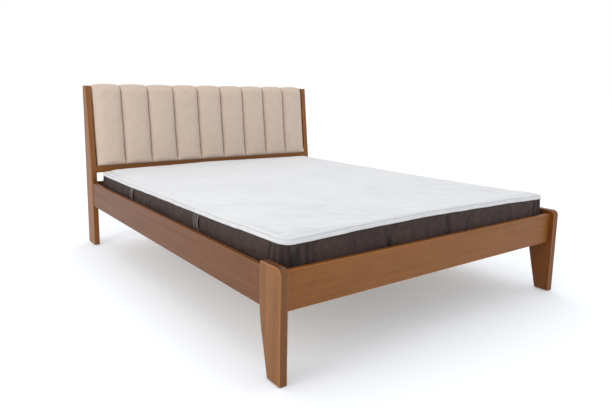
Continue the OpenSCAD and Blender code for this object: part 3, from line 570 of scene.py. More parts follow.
# Planed beech without stain, pale and straight-grained
INNER_ACROSS = PlainWood("beech_planed_across", grain=Grain.ACROSS)
INNER_ALONG = PlainWood("beech_planed_along", grain=Grain.ALONG)
INNER_UPRIGHT = PlainWood("beech_planed_upright", grain=Grain.UPRIGHT)
# Sanded birch ply, paler and yellower than beech
SLAT_PLY = PlainWood("birch_ply_sanded", grain=Grain.ACROSS, light="E6CDA3", dark="D3B184")
# Woven polyester on the headboard: matt beige, with a thin dark line of thread and painted shade along each
# seam
COVER_CLOTH = WovenCloth("upholstery_beige_woven", seam_every=2 * PANEL_HALF / CHANNELS)
# Woven border cloth: dark brown, mottled, and darker still in its folds with painted shade
BORDER_CLOTH = WovenCloth(
    "border_brown_woven", light="3F2B25", dark="281814", thread_mm=2.4, relief_mm=0.3, rough=0.85,
    sheen=0.03, mottle_mm=28, fold_share=0.7)
# Woven cotton tape: plain white, a little lighter and less blue than the ticking
TAPE_CLOTH = WovenCloth(
    "edge_tape_white_woven", light="D6D7D8", dark="C8C9CA", thread_mm=2.0, relief_mm=0.25, sheen=0.1)
# Webbing woven from coarse yarn: grey-brown, with paler selvedges that carry a painted highlight
HANDLE_CLOTH = WovenCloth(
    "handle_webbing_grey_brown", light="4E4340", dark="38302E", thread_mm=2.4, relief_mm=0.5, sheen=0.06,
    hem_from=20 * MM, hem_and_highlight="776A63")
# Knitted polyester ticking: soft white, grey with painted shade in its creases
TICKING = KnittedTicking("ticking_white_knitted")
# Zinc-plated steel: a cool grey shine, broken by fine scuffs
ZINC = Metal("steel_zinc_plated")
# Powder coat on steel: near black and even
BLACK_COAT = MattCoat("steel_black_powder_coat")
# Moulded polypropylene: mid grey, a little smoother than powder coat
GREY_MOULDING = MattCoat("plastic_grey_moulded", tint="4A4A4C", grain_mm=0.8, rough=0.5)
# Pressed felt: dark grey and matt, with fibres in clumps of 2.5 mm
FELT = Fleece("felt_grey_pressed")
# Bonded lining cloth: dull charcoal, with fibres in clumps of 3 mm
LINING = Fleece("lining_grey_bonded", light="4C4A49", dark="403E3D", cell_mm=3.0)
# Bonded cloth under the mattress: dull grey, with fibres in clumps of 4 mm
BASE_CLOTH = Fleece("base_cloth_grey_bonded", light="55524F", dark="474442", cell_mm=4.0)
# Cut polyurethane foam: cream, with open cells drawn at 2 mm, about twice their real size
FOAM = Fleece("foam_cream_cut", light="EFE6CC", dark="DDD2B4", cell_mm=2.0)


# Helpers for meshes


def wander(x: float, y: float, size: float, seed: int) -> float:
    """Smooth noise from about -1 to 1 at a place, with features of a size, both in metres."""
    return 2 * noise.noise(Vector((x / size + 7.31 * seed, y / size - 3.77 * seed, 1.7 * seed)))


def skin(name: str, points: np.ndarray, round_rows: bool, lengths: np.ndarray,
         closed: bool = False) -> bpy.types.Object:
    """Makes a smooth mesh object from a net of points.

    Args:
        name: The object's name.
        points: Points as rows, columns and three coordinates.
        round_rows: Whether each row closes on itself.
        lengths: A flat length in metres for each row and column, two numbers each.
        closed: Whether the last row joins the first.

    Returns:
        The object, whose faces turn counterclockwise from rows to columns.
    """
    rows, columns = points.shape[:2]
    faces, corners = [], []
    for i in range(rows if closed else rows - 1):
        for j in range(columns if round_rows else columns - 1):
            i2, j2 = (i + 1) % rows, (j + 1) % columns
            faces.append((i * columns + j, i * columns + j2, i2 * columns + j2, i2 * columns + j))
            corners.append(((i, j), (i, j + 1), (i + 1, j + 1), (i + 1, j)))
    mesh = bpy.data.meshes.new(name)
    mesh.from_pydata(points.reshape(-1, 3).tolist(), [], faces)
    uv = mesh.uv_layers.new(name="lengths")
    # A closed net has one more length at its end than it has points
    flat = [lengths[i][j] for face in corners for i, j in face]
    uv.data.foreach_set("uv", np.array(flat, np.float32).ravel())
    mesh.polygons.foreach_set("use_smooth", [True] * len(mesh.polygons))
    mesh.update()
    made = bpy.data.objects.new(name, mesh)
    bpy.context.scene.collection.objects.link(made)
    return made


def close_ends(piece: bpy.types.Object, columns: int) -> None:
    """Closes a mesh of rings with a flat end, cut into triangles, at its first and at its last ring.

    Args:
        piece: The mesh object, whose rings run counterclockwise seen from its last ring's side.
        columns: Number of points in a ring.
    """
    mesh = piece.data
    last = len(mesh.vertices) - columns
    work = bmesh.new()
    work.from_mesh(mesh)
    work.verts.ensure_lookup_table()
    uv = work.loops.layers.uv.active
    for ring in (range(last, last + columns), reversed(range(columns))):
        face = work.faces.new([work.verts[k] for k in ring])
        face.smooth = True
        for corner in face.loops:
            corner[uv].uv = (corner.vert.co.x, corner.vert.co.y)
        bmesh.ops.triangulate(work, faces=[face])
    work.to_mesh(mesh)
    work.free()
    mesh.update()


def even_path(corners: Sequence[tuple[float, float]], parts: int) -> np.ndarray:
    """Draws a smooth curve through corners and splits it evenly.

    Args:
        corners: Points in a plane, which the curve passes through.
        parts: Number of equal parts.

    Returns:
        The parts' ends, one more than there are parts.
    """
    p = np.array(corners, float)
    p = np.vstack([2 * p[0] - p[1], p, 2 * p[-1] - p[-2]])
    fine = []
    for k in range(1, len(p) - 2):
        for t in np.linspace(0, 1, 10, endpoint=False):
            a, b, c, d = p[k - 1:k + 3]
            # A curve that leans on the neighbours a little less than a Catmull-Rom curve does
            m, n = 0.4 * (c - a), 0.4 * (d - b)
            fine.append((2 * t**3 - 3 * t**2 + 1) * b + (t**3 - 2 * t**2 + t) * m
                        + (3 * t**2 - 2 * t**3) * c + (t**3 - t**2) * n)
    fine.append(p[-2])
    curve = np.array(fine)
    far = np.concatenate([[0], np.cumsum(np.linalg.norm(np.diff(curve, axis=0), axis=1))])
    steps = np.linspace(0, far[-1], parts + 1)
    return np.stack([np.interp(steps, far, curve[:, 0]), np.interp(steps, far, curve[:, 1])], 1)


def cloth_rules(cloth: bpy.types.Modifier, pressure: float, slack: float) -> None:
    """Sets how a cover's cloth behaves in the simulation.

    Args:
        cloth: The cloth modifier.
        pressure: Pressure of the padding.
        slack: Share by which the cloth is cut larger than its net.
    """
    cloth.point_cache.frame_start = 1
    cloth.point_cache.frame_end = CLOTH_STEPS
    rules = cloth.settings
    rules.quality = 6
    rules.mass = 0.3
    rules.tension_stiffness = rules.compression_stiffness = 15
    rules.shear_stiffness = 5
    rules.bending_stiffness = 0.4
    rules.vertex_group_mass = "sewn"
    rules.shrink_min = -slack
    rules.use_pressure = True
    rules.uniform_pressure_force = pressure
    rules.effector_weights.gravity = 0.0
    cloth.collision_settings.use_collision = False
    cloth.collision_settings.use_self_collision = False


def blow_up(piece: bpy.types.Object, held: Iterable[int], pressure: float, slack: float, most: float) -> None:
    """Lets the padding press the cloth out between its seams, and keeps the result.

    Args:
        piece: The cloth, as a mesh object.
        held: Numbers of the points that are sewn down.
        pressure: Pressure of the padding.
        slack: Share by which the cloth is cut larger than its net.
        most: The limit that a point's move comes near to but doesn't pass, in metres.
    """
    mesh = piece.data
    group = piece.vertex_groups.new(name="sewn")
    group.add(list(held), 1.0, "REPLACE")
    start = np.zeros(len(mesh.vertices) * 3)
    mesh.vertices.foreach_get("co", start)
    start = start.reshape(-1, 3)
    cloth = piece.modifiers.new("cloth", "CLOTH")
    cloth_rules(cloth, pressure, slack)
    scene = bpy.context.scene
    for step in range(1, CLOTH_STEPS + 1):
        scene.frame_set(step)
    ready = piece.evaluated_get(bpy.context.evaluated_depsgraph_get()).to_mesh()
    end = np.zeros(len(ready.vertices) * 3)
    ready.vertices.foreach_get("co", end)
    piece.to_mesh_clear()
    piece.modifiers.remove(cloth)
    scene.frame_set(1)
    move = end.reshape(-1, 3) - start
    far = np.linalg.norm(move, axis=1, keepdims=True)
    move *= most * np.tanh(far / most) / np.maximum(far, 1e-9)
    mesh.vertices.foreach_set("co", (start + move).ravel())
    mesh.update()
    log.info("%s: cloth moved %.1f mm on average, %.1f mm at most", piece.name,
             1000 * float(np.mean(far)), 1000 * float(np.max(far)))


def mark_folds(piece: bpy.types.Object, depths: np.ndarray) -> None:
    """Notes how deep each point of a cloth lies in a fold, from 0 to 1, for the cloth's finish."""
    layer = piece.data.attributes.get("fold") or piece.data.attributes.new("fold", "FLOAT", "POINT")
    layer.data.foreach_set("value", np.clip(depths, 0, 1).astype(np.float32))


def dress_nodes(finish: Finish, *names: str) -> None:
    """Gives a finish to CAD nodes whose shapes are kept."""
    finish.dress(*(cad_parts[name] for name in names))
    log.info("dressed %s in %s", ", ".join(names), finish.name)


# The bed's parts


class WoodenFrame:
    """Legs, posts and rails, all kept from the CAD model."""

    def dress(self) -> None:
        """Gives each board the stained beech whose grain runs along it."""
        dress_nodes(LEG_BEECH, "front_leg_left")
        dress_nodes(POST_BEECH, "back_post_left", "back_post_right")
        # The right front leg gets the copy that is darkened with painted shade
        dress_nodes(SHADED_LEG_BEECH, "front_leg_right")
        dress_nodes(SIDE_BEECH, "side_rail_left", "side_rail_right")
        dress_nodes(CROSS_BEECH, "foot_rail", "head_rail", "headboard_rail")
        dress_nodes(INNER_ACROSS, "foot_rail_dowels", "head_rail_dowels", "headboard_rail_dowels")
        dress_nodes(ZINC, "rail_hook_plates", "post_slot_plates", "hook_plate_screws", "slot_plate_screws",
                    "headboard_rail_screws", "headboard_brackets", "headboard_bracket_screws")
        dress_nodes(FELT, "felt_pads")


class SlatBase:
    """The sprung slats with their ledgers, beam and centre legs, kept from the CAD model."""

    def dress(self) -> None:
        """Gives the base its ply, planed beech, steel and plastic."""
        dress_nodes(SLAT_PLY, "slats_left", "slats_right")
        dress_nodes(INNER_ALONG, "ledger_left", "ledger_right")
        dress_nodes(BLACK_COAT, "centre_beam", "centre_leg_foot_end", "centre_leg_head_end")
        dress_nodes(ZINC, "ledger_screws", "beam_brackets", "beam_bracket_screws", "centre_leg_screws")
        dress_nodes(GREY_MOULDING, "centre_leg_glides", "side_slat_holders", "centre_slat_holders")


@dataclass
class Headboard:
    """The padded panel between the posts, drawn in the leaning frame of the posts.

    In that frame x runs across the bed, v backwards from the posts' front faces and w up along them.
    """

    channels: int = CHANNELS
    half_width: float = PANEL_HALF
    # The posts' front faces where they begin to lean, as y and z, and how far they lean
    front: tuple[float, float] = (982 * MM, 450 * MM)
    lean: float = math.atan2(66, 553)
    # Heights of the panel's lower and upper edges over the floor
    low: float = 506 * MM
    high: float = 1007 * MM
    # Places along v of a seam, a channel's crown, the padding's back and the battens' backs
    seam: float = 8 * MM
    crown: float = -22 * MM
    padding: float = 12 * MM
    back: float = 48 * MM
    # How far the cover is turned down behind the panel's top and in at its sides
    turned_down: float = 45 * MM
    side_turn: float = 12 * MM
    # The cover's net: columns in a channel, rows, and the cloth's length from row to row
    columns: int = 20
    rows: int = 92
    row_length: float = 7.1 * MM
    # How far the outer uprights' middles stand inside the panel's ends
    upright_inset: float = 22 * MM
    # How far the lining hangs in, and the distance between its tacks
    lining_sink: float = 3.2 * MM
    tack_every: float = 55 * MM

    def lengths_up(self) -> tuple[float, float]:
        """The panel's lower and upper edges, measured up along the posts."""
        rise = math.cos(self.lean)
        return (self.low - self.front[1]) / rise, (self.high - self.front[1]) / rise

    def place(self, x: float, v: float, w: float) -> tuple[float, float, float]:
        """A point of the leaning frame as a point of the bed."""
        c, s = math.cos(self.lean), math.sin(self.lean)
        return (x, self.front[0] + v * c + w * s, self.front[1] - v * s + w * c)

    def section(self, swell: float) -> list[tuple[float, float]]:
        """The cover's path from the lower edge over the front and the top to the back.

        Args:
            swell: 0 at a seam and 1 on the crown of a channel.

        Returns:
            Points of the path as v and w.
        """
        low, high = self.lengths_up()
        s, c = self.seam, swell
        face = s + (self.crown - s) * c
        return [
            (self.padding, low + 2 * MM),
            (3 * MM - 7 * MM * c, low + 1 * MM),
            (-5 * MM - 9 * MM * c, low + 8 * MM),
            (-1 * MM - 19 * MM * c, low + 22 * MM),
            (face, low + 48 * MM),
            (face, (low + high) / 2),
            (face, high - 52 * MM),
            (face + 1 * MM, high - 34 * MM),
            (s + 3 * MM - 19 * MM * c, high - 16 * MM),
            (s + 12 * MM - 11 * MM * c, high - 3 * MM + 9 * MM * c),
            (28 * MM - 2 * MM * c, high + 11 * MM * c),
            (self.back - 6 * MM, high - 2 * MM + 6 * MM * c),
            (self.back + 1.2 * MM, high - 9 * MM),
            (self.back + 1.4 * MM, high - 20 * MM),
            (self.back + 1.4 * MM, high - self.turned_down),
        ]

    def swell(self, channel: int, t: float) -> float:
        """How far a column of the cover swells.

        Args:
            channel: Number of its channel.
            t: Its place in the channel, from 0 to 1.

        Returns:
            0 at a seam and up to 1 on the crown.
        """
        u = abs(2 * t - 1)
        if (t < 0.5 and channel == 0) or (t > 0.5 and channel == self.channels - 1):
            # The panel's two sides are rounded over, without a seam
            return round(max(0.0, 1 - u ** 2.6) ** 0.8, 4)
        # Round over the whole channel, with a steep turn into the seam
        return round(0.45 * (1 - u ** 2.2) + 0.55 * max(0.0, 1 - u ** 10) ** 0.5, 4)

    def cover_net(self) -> tuple[np.ndarray, np.ndarray]:
        """Places the cover's points before the padding presses on it.

        Returns:
            The points and their flat lengths, as rows from the lower edge to the back.
        """
        low, high = self.lengths_up()
        count = self.channels * self.columns
        paths: dict[float, np.ndarray] = {}
        net = np.zeros((self.rows + 1, count + 3, 3))
        flat = np.zeros((self.rows + 2, count + 4, 2))
        for j in range(count + 1):
            channel = min(j // self.columns, self.channels - 1)
            turn = math.cos(math.pi * (j % self.columns) / self.columns)
            # Columns stand closer together near the seams
            t = 0.5 - 0.5 * turn * (0.72 + 0.28 * abs(turn))
            x = self.half_width * (2 * (j // self.columns + t) / self.channels - 1)
            swell = self.swell(channel, t)
            if swell not in paths:
                paths[swell] = even_path(self.section(swell), self.rows)
            full = 1 + 0.05 * wander(channel, 0.3, 0.8, 5)
            for i, (v, w) in enumerate(paths[swell]):
                # Seams wander a little, and the padding is not quite even
                sway = 1.3 * MM * wander(x, w, 0.16, 3) * math.sin(math.pi * min(1.0, 1.3 * i / self.rows))
                lump = swell * MM * (1.2 * wander(x, w, 0.11, 11) + 0.5 * wander(x * 2.2, w, 0.05, 17))
                ends = 0.0 if j in (0, count) else 1.0
                net[i, j + 1] = self.place(x + sway * ends, v * (full if v < 0 else 1) - lump * (v < 0), w)
                flat[i, j + 1] = (x + self.half_width, i * self.row_length)
        for i in range(self.rows + 1):
            v, w = paths[0.0][i]
            # Turned in behind the edge, with no two points in one place, which the simulation can't bear
            inner = (0.9 * min(max(v, self.padding + 4 * MM), self.back - 4 * MM) + 0.1 * v,
                     0.9 * min(max(w, low + 3 * MM), high - 12 * MM) + 0.1 * w)
            for j, x in ((0, -self.half_width + 1 * MM), (count + 2, self.half_width - 1 * MM)):
                net[i, j] = self.place(x, *inner)
                flat[i, j] = (x + self.half_width + math.copysign(self.side_turn, x), i * self.row_length)
        return net, flat

    def sewn_points(self) -> set[int]:
        """The numbers of the cover's points that are sewn down: its edges, its back and its seams.

        Returns:
            The numbers.
        """
        wide = self.channels * self.columns + 3
        held = {i * wide + j for i in range(self.rows + 1) for j in (0, 1, wide - 2, wide - 1)}
        held |= {i * wide + j for i in (*range(3), *range(self.rows - 4, self.rows + 1)) for j in range(wide)}
        for k in range(1, self.channels):
            held |= {i * wide + k * self.columns + 1 for i in range(self.rows + 1)}
        return held

    def cover(self) -> bpy.types.Object:
        """Sews the channelled cover and lets its padding press it out between the seams.

        Returns:
            The cover, which stands for the CAD pad.
        """
        net, flat = self.cover_net()
        made = skin("headboard_cover", net, False, flat)
        blow_up(made, self.sewn_points(), pressure=2.0, slack=0.004, most=3 * MM)
        smooth = made.modifiers.new("smooth", "SUBSURF")
        smooth.levels = smooth.render_levels = 1
        COVER_CLOTH.dress(made)
        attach(made, "bed_frame")
        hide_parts("headboard_channel_pad")
        return made

    def lining_depth(self, x: float, w: float, rim: float, along: float) -> float:
        """How far the lining is drawn in, between the frame's boards and at its tacks.

        Args:
            x: Place across the bed.
            w: Place up along the posts.
            rim: Distance from the lining's nearest edge.
            along: Place along that edge.

        Returns:
            The distance that it is drawn in there.
        """
        low, high = self.lengths_up()
        uprights = [(k / 3 - 0.5) * 2 * (self.half_width - self.upright_inset) for k in range(4)]
        # It is pulled flat over the battens and uprights, and hangs in slightly between them
        on_upright = max(0.0, min(abs(x - u) for u in uprights) - 20 * MM)
        on_batten = max(0.0, min(w - low - 45 * MM, high - 59 * MM - w))
        loose = (1 - math.exp(-on_upright / (45 * MM))) * (1 - math.exp(-on_batten / (45 * MM)))
        # Each tack along the turned-in edge draws it in a little
        tack = 0.5 + 0.5 * math.cos(2 * math.pi * along / self.tack_every)
        sink = self.lining_sink * loose * (1 + 0.35 * wander(x, w, 0.14, 71))
        return sink + 0.25 * MM * tack * math.exp(-((rim - 8 * MM) / (7 * MM)) ** 2)

    def lining(self) -> bpy.types.Object:
        """Stretches the thin lining over the back, tacked along its turned-in edges.

        Returns:
            The lining, which stands for the CAD sheet.
        """
        low, high = self.lengths_up()
        w0, w1, half = low + 3 * MM, high - 48 * MM, self.half_width - 4 * MM
        wide, tall = 161, 46
        net = np.zeros((tall, wide, 3))
        flat = np.zeros((tall + 1, wide + 1, 2))
        for i in range(tall):
            for j in range(wide):
                x, w = half * (2 * j / (wide - 1) - 1), w0 + (w1 - w0) * i / (tall - 1)
                to_end, to_side = min(w - w0, w1 - w), half - abs(x)
                sink = self.lining_depth(x, w, min(to_end, to_side), x if to_end < to_side else w)
                net[i, j] = self.place(x, self.back + 0.7 * MM - sink, w)
                flat[i, j] = (x + half, w - w0)
        # Seen from behind, the columns run the other way
        made = skin("headboard_lining_cloth", net[:, ::-1], False, flat[:, [*reversed(range(wide)), wide]])
        thick = made.modifiers.new("thickness", "SOLIDIFY")
        thick.thickness = 0.5 * MM
        thick.offset = -1.0
        LINING.dress(made)
        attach(made, "bed_frame")
        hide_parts("headboard_lining")
        return made

    def dress(self) -> None:
        """Gives the panel's inner parts their finishes."""
        dress_nodes(SLAT_PLY, "headboard_panel")
        dress_nodes(INNER_ACROSS, "headboard_battens")
        dress_nodes(INNER_UPRIGHT, "headboard_uprights")
        dress_nodes(FOAM, "headboard_foam")


@dataclass
class Mattress:
    """The mattress: quilted top, padded border, edge tapes and handles round the foam."""

    width: float = 1600 * MM
    length: float = 2000 * MM
    centre_y: float = -46 * MM
    # Heights of its underside and its top edge over the floor
    bottom: float = 309.6 * MM
    edge_top: float = 499.6 * MM
    # Radius of its corners, and how far the top swells towards its middle
    corner: float = 45 * MM
    crown: float = 12 * MM
    # How far the upper tape's lower edge lies under the top edge, and the size of both tapes
    tape_drop: float = 22 * MM
    tape_height: float = 15 * MM
    tape_thick: float = 5 * MM
    # How far the upper tape dips on a long side, lifts on an end and drops towards the head
    dip: float = 6 * MM
    lift: float = 13 * MM
    head_drop: float = 22 * MM
    # Thickness of the padded border, and how far it draws in towards the tapes
    border_thick: float = 14 * MM
    swell: float = 3 * MM
    # The nets' points on a corner, an end and a long side
    corner_parts: int = 12
    end_parts: int = 260
    side_parts: int = 320
    # Distances of the handles' middles from the foot end, and the handles' size and bow
    handle_spots: tuple[float, float] = (666 * MM, 1458 * MM)
    handle_width: float = 50 * MM
    handle_height: float = 76 * MM
    handle_bow: float = 4.5 * MM
    # Number of the border's scattered folds, and the depth at which a fold has its full shade
    border_folds: int = 72
    deep_fold: float = 6 * MM
    # Number of the top's creases, and the way that they lie
    top_creases: int = 230
    crease_turn: float = CREASE_TURN
    # Width of the diamonds stitched into the underside, and the depth of the stitching
    diamond: float = 110 * MM
    stitch_depth: float = 1.8 * MM

    def rim(self, inward: float) -> np.ndarray:
        """Points round the mattress at a distance inside its edge.

        Args:
            inward: The distance from the edge.

        Returns:
            Rows of x, y and the rise of the upper tape there.
        """
        r = max(self.corner - inward, 6 * MM)
        hx, hy = self.width / 2 - inward - r, self.length / 2 - inward - r
        mids = [(hx, hy), (-hx, hy), (-hx, -hy), (hx, -hy)]
        out = []
        for q in range(4):
            parts = self.end_parts if q % 2 == 0 else self.side_parts
            corner = -self.head_drop if q < 2 else 0.0
            for j in range(self.corner_parts + 1):
                a = math.radians(90 * (q + j / self.corner_parts))
                out.append((mids[q][0] + r * math.cos(a), mids[q][1] + r * math.sin(a), corner))
            a = math.radians(90 * (q + 1))
            start = np.array(mids[q]) + r * np.array([math.cos(a), math.sin(a)])
            end = np.array(mids[(q + 1) % 4]) + r * np.array([math.cos(a), math.sin(a)])
            for j in range(1, parts):
                t = j / parts
                if q % 2 == 0:
                    rise = corner + self.lift * math.sin(math.pi * t)
                else:
                    rise = self.side_rise(1 - t if q == 1 else t)
                out.append((*(start + (end - start) * t), rise))
        return np.array(out)

    def side_rise(self, t: float) -> float:
        """The upper tape's rise on a long side at the share t from the foot."""
        return -self.head_drop * t - self.dip * (1 - abs(2 * t - 1) ** 3)

    def way_round(self) -> np.ndarray:
        """Measures round the mattress's edge.

        Returns:
            The length round the edge at each point of a rim, closed with one more at its end.
        """
        p = self.rim(0)[:, :2]
        steps = np.linalg.norm(np.diff(np.vstack([p, p[:1]]), axis=0), axis=1)
        return np.concatenate([[0], np.cumsum(steps)])

    def corner_ways(self) -> list[float]:
        """Finds the corners on the way round, from the right one at the head.

        Returns:
            The lengths round the edge at the middles of the four corners.
        """
        way = self.way_round()
        half = self.corner_parts // 2
        end, side = self.corner_parts + self.end_parts, self.corner_parts + self.side_parts
        return [float(way[start + half]) for start in (0, end, end + side, 2 * end + side)]

    def outward(self) -> np.ndarray:
        """Finds which way is out.

        Returns:
            The outward direction at each point of a rim.
        """
        p = self.rim(0)[:, :2]
        along = np.roll(p, -1, 0) - np.roll(p, 1, 0)
        along /= np.linalg.norm(along, axis=1, keepdims=True)
        return np.stack([along[:, 1], -along[:, 0]], 1)

    def band(self, name: str, rings: Sequence[tuple[float, Height]], stray: Stray,
             closed: bool) -> bpy.types.Object:
        """Makes a band round the mattress from rings.

        Args:
            name: The object's name.
            rings: Distance inside the edge, and a function that gives the height from the point's
                number, its rise and its way round.
            stray: A function that gives how far a point strays outwards, from the point's number,
                its way round and the ring's number.
            closed: Whether the last ring joins the first.

        Returns:
            The band.
        """
        way, out = self.way_round(), self.outward()
        count = len(way) - 1
        net = np.zeros((len(rings), count, 3))
        flat = np.zeros((len(rings) + 1, count + 1, 2))
        depth = np.zeros((len(rings), count))
        run = 0.0
        for g, (inward, height) in enumerate(rings):
            rim = self.rim(inward)
            for k in range(count):
                push = stray(k, way[k], g)
                depth[g, k] = -push / self.deep_fold
                net[g, k] = (rim[k, 0] + out[k, 0] * push, rim[k, 1] + out[k, 1] * push + self.centre_y,
                             height(k, rim[k, 2], way[k]))
            if g:
                run += float(np.mean(np.linalg.norm(net[g] - net[g - 1], axis=1)))
            flat[g, :, 0], flat[g, :, 1] = way, run
        flat[-1, :, 0], flat[-1, :, 1] = way, run + 0.01
        made = skin(name, net, True, flat, closed)
        mark_folds(made, depth.ravel())
        return made

    def tape_foot(self, rise: float, way: float) -> float:
        """Height of the upper tape's lower edge, with the small waves of sewn tape."""
        wave = 1.8 * MM * wander(way, 0, 0.30, 21) + 0.7 * MM * wander(way, 0, 0.06, 23)
        return self.edge_top - self.tape_drop + rise + wave

    def tape(self, name: str, foot: Callable[[float, float], float], node: str) -> bpy.types.Object:
        """Sews an edge tape: a soft band turned over at both edges.

        Args:
            name: The tape's name.
            foot: Height of its lower edge from the rise there and the way round.
            node: The CAD node that it stands for.

        Returns:
            The tape.
        """
        # Its section as distance inside the edge and share of its height: both edges are turned over
        ring = [(self.tape_thick, 0.06), (3 * MM, 0.0), (1.2 * MM, 0.02), (0.2 * MM, 0.14), (0, 0.32),
                (0, 0.5), (0, 0.68), (0.3 * MM, 0.86), (1.5 * MM, 0.98), (3.2 * MM, 1.0),
                (self.tape_thick, 0.94)]

        def height(share: float) -> Height:
            """Height on the tape at a share of its height."""
            return lambda k, rise, way: foot(rise, way) + self.tape_height * share

        def stray(k: int, way: float, g: int) -> float:
            """Swells the tape a little, and not quite evenly, between its two seams."""
            mid = 1 - abs(g - 5) / 5
            return 0.5 * MM * wander(way, 0.1 * g, 0.022, 31) * mid + 0.6 * MM * mid

        made = self.band(name, [(d, height(s)) for d, s in ring], stray, True)
        self.finish(made, TAPE_CLOTH, "tape_webbing", node)
        return made

    def base_cloth(self) -> bpy.types.Object:
        """Sews the underside: thin wadding in plain cloth, stitched through in a wide diamond pattern.

        Returns:
            The underside's cloth.
        """
        coarse = replace(self, end_parts=100, side_parts=125)
        edge = self.tape_thick + 0.3 * MM
        rings: list[tuple[float, Height]] = []
        # The flat underside, from its middle outwards in rings 16 mm apart
        for d in [self.width / 2 - 12 * MM] + [776 * MM - 16 * MM * k for k in range(48)]:
            rings.append((d, lambda k, rise, way: self.bottom))
        # The turned-up rim, as distance inside the lower tape and height over the underside
        for d, z in ((3.0, 0.0), (0.8, 0.8), (0.0, 2.2), (0.0, 4.2), (1.0, 5.6), (12.0, 5.9)):
            rings.append((edge + d * MM, lambda k, rise, way, z=z: self.bottom + z * MM))
        made = coarse.band("mattress_base_cloth", rings, lambda k, way, g: 0.0, False)
        mesh = made.data
        for point in mesh.vertices:
            if point.co.z < self.bottom + 0.1 * MM:
                a = (point.co.x + point.co.y) / self.diamond
                b = (point.co.x - point.co.y) / self.diamond
                line = min(abs(a - round(a)), abs(b - round(b)))
                point.co.z += self.stitch_depth * math.exp(-(line / 0.09) ** 2)
        close_ends(made, len(coarse.way_round()) - 1)
        self.finish(made, BASE_CLOTH, "lining_cloth", "mattress_bottom_panel")
        return made

    def border_creases(self) -> list[tuple[float, ...]]:
        """Picks the upright creases of the border.

        Returns:
            For each crease its place on the way round, its width, depth and lean, and where it starts and
            ends as shares of the border's height.
        """
        pick = np.random.default_rng(7)
        total = float(self.way_round()[-1])
        creases = [(pick.uniform(0, total), pick.uniform(6, 12) * MM, pick.uniform(2.0, 5.5) * MM,
                    pick.uniform(-0.6, 0.6), pick.uniform(0.0, 0.4), pick.uniform(0.55, 1.0))
                   for _ in range(self.border_folds)]
        # The long sides are drawn smoother than the two ends
        corners = self.corner_ways()
        creases = [(at, wide, deep * (0.4 if corners[1] < at < corners[2] or at > corners[3] else 1.0), *rest)
                   for at, wide, deep, *rest in creases]
        # The cloth is gathered in upright folds round each corner
        for at in corners:
            for off in (-84, -46, -14, 16, 50, 90):
                creases.append((at + (off + pick.uniform(-8, 8)) * MM, pick.uniform(6, 9) * MM,
                                pick.uniform(5.0, 8.0) * MM, pick.uniform(-0.2, 0.2), 0.0, 1.0))
        return creases

    def border(self) -> bpy.types.Object:
        """Sews the padded border with its upright creases and its pulls under the tape.

        Returns:
            The border.
        """
        rows = 18
        low = self.bottom + self.tape_height
        total = float(self.way_round()[-1])
        creases = self.border_creases()

        def stray(k: int, way: float, g: int) -> float:
            """Swells the padding between the tapes, less where a crease draws the cloth in.

            Args:
                k: The point's number on its ring.
                way: Its place on the way round.
                g: The ring's number.

            Returns:
                How far the point lies outside its ring.
            """
            t = (g - 1) / (rows - 3) if 1 <= g <= rows - 2 else 0.0
            body = math.sin(math.pi * t)
            broad = 1.6 * MM * wander(way, t * 0.12, 0.19, 41)
            push = body * (broad + 1.2 * MM * wander(way, t * 0.06, 0.045, 43))
            for at, wide, deep, tilt, start, end in creases:
                off = way - at - tilt * 0.12 * (t - 0.5)
                off = (off + total / 2) % total - total / 2
                if abs(off) < 4 * wide:
                    held = max(0.0, min(1.0, (t - start) * 6 + 0.5)) * max(0.0, min(1.0, (end - t) * 6 + 0.8))
                    push -= deep * held * math.exp(-(off / wide) ** 2) * min(1.0, 3 * body + 0.2)
            # Small pulls fan out just under the tape
            push += 1.2 * MM * max(0.0, t - 0.5) / 0.5 * body ** 0.3 * wander(way + 0.05 * t, 0, 0.03, 47)
            return min(push, 1.6 * MM)

        def ring(share: float) -> Height:
            """Height on the border at a share of the way from the lower to the upper tape."""
            return lambda k, rise, way: low + (self.tape_foot(rise, way) + 1 * MM - low) * share

        shares = [0.0] + list(np.linspace(0, 1, rows - 2)) + [1.0]
        inward = [self.swell * abs(2 * s - 1) ** 2.6 for s in shares]
        inward[0] = inward[-1] = self.border_thick
        made = self.band("mattress_border_cloth", [(d, ring(s)) for d, s in zip(inward, shares)], stray, True)
        self.finish(made, BORDER_CLOTH, "border_fabric", "mattress_border")
        return made

    def quilt(self) -> bpy.types.Object:
        """Sews the quilted top: a roll behind the tape, then a soft crowned field.

        Returns:
            The quilted top.
        """
        under, behind = self.border_thick / MM + 0.3, self.tape_thick / MM - 1
        # Distances inside the edge and heights over the tape's foot: tucked in behind the tape, then the roll
        tucked = [(under, -20.0), (under, 1.0), (behind, 3.0), (behind, 12.0), (4.2, 10.5), (5.6, 9.0)]
        roll = [(6.8, 13.0), (8.6, 17.6), (12.0, 21.0), (17.0, 23.2), (25.0, 24.4), (36.0, 25.0)]
        roll_end, roll_top = roll[-1][0] * MM, roll[-1][1] * MM

        def base(inward: float) -> float:
            """Height of the field over the floor at a distance inside the edge."""
            return self.edge_top - 2 * MM + self.crown * (1 - math.exp(-inward / (160 * MM)))

        rings: list[tuple[float, Height]] = []
        for d, h in tucked + roll:
            rings.append((d * MM, lambda k, rise, way, h=h: self.tape_foot(rise, way) + h * MM))
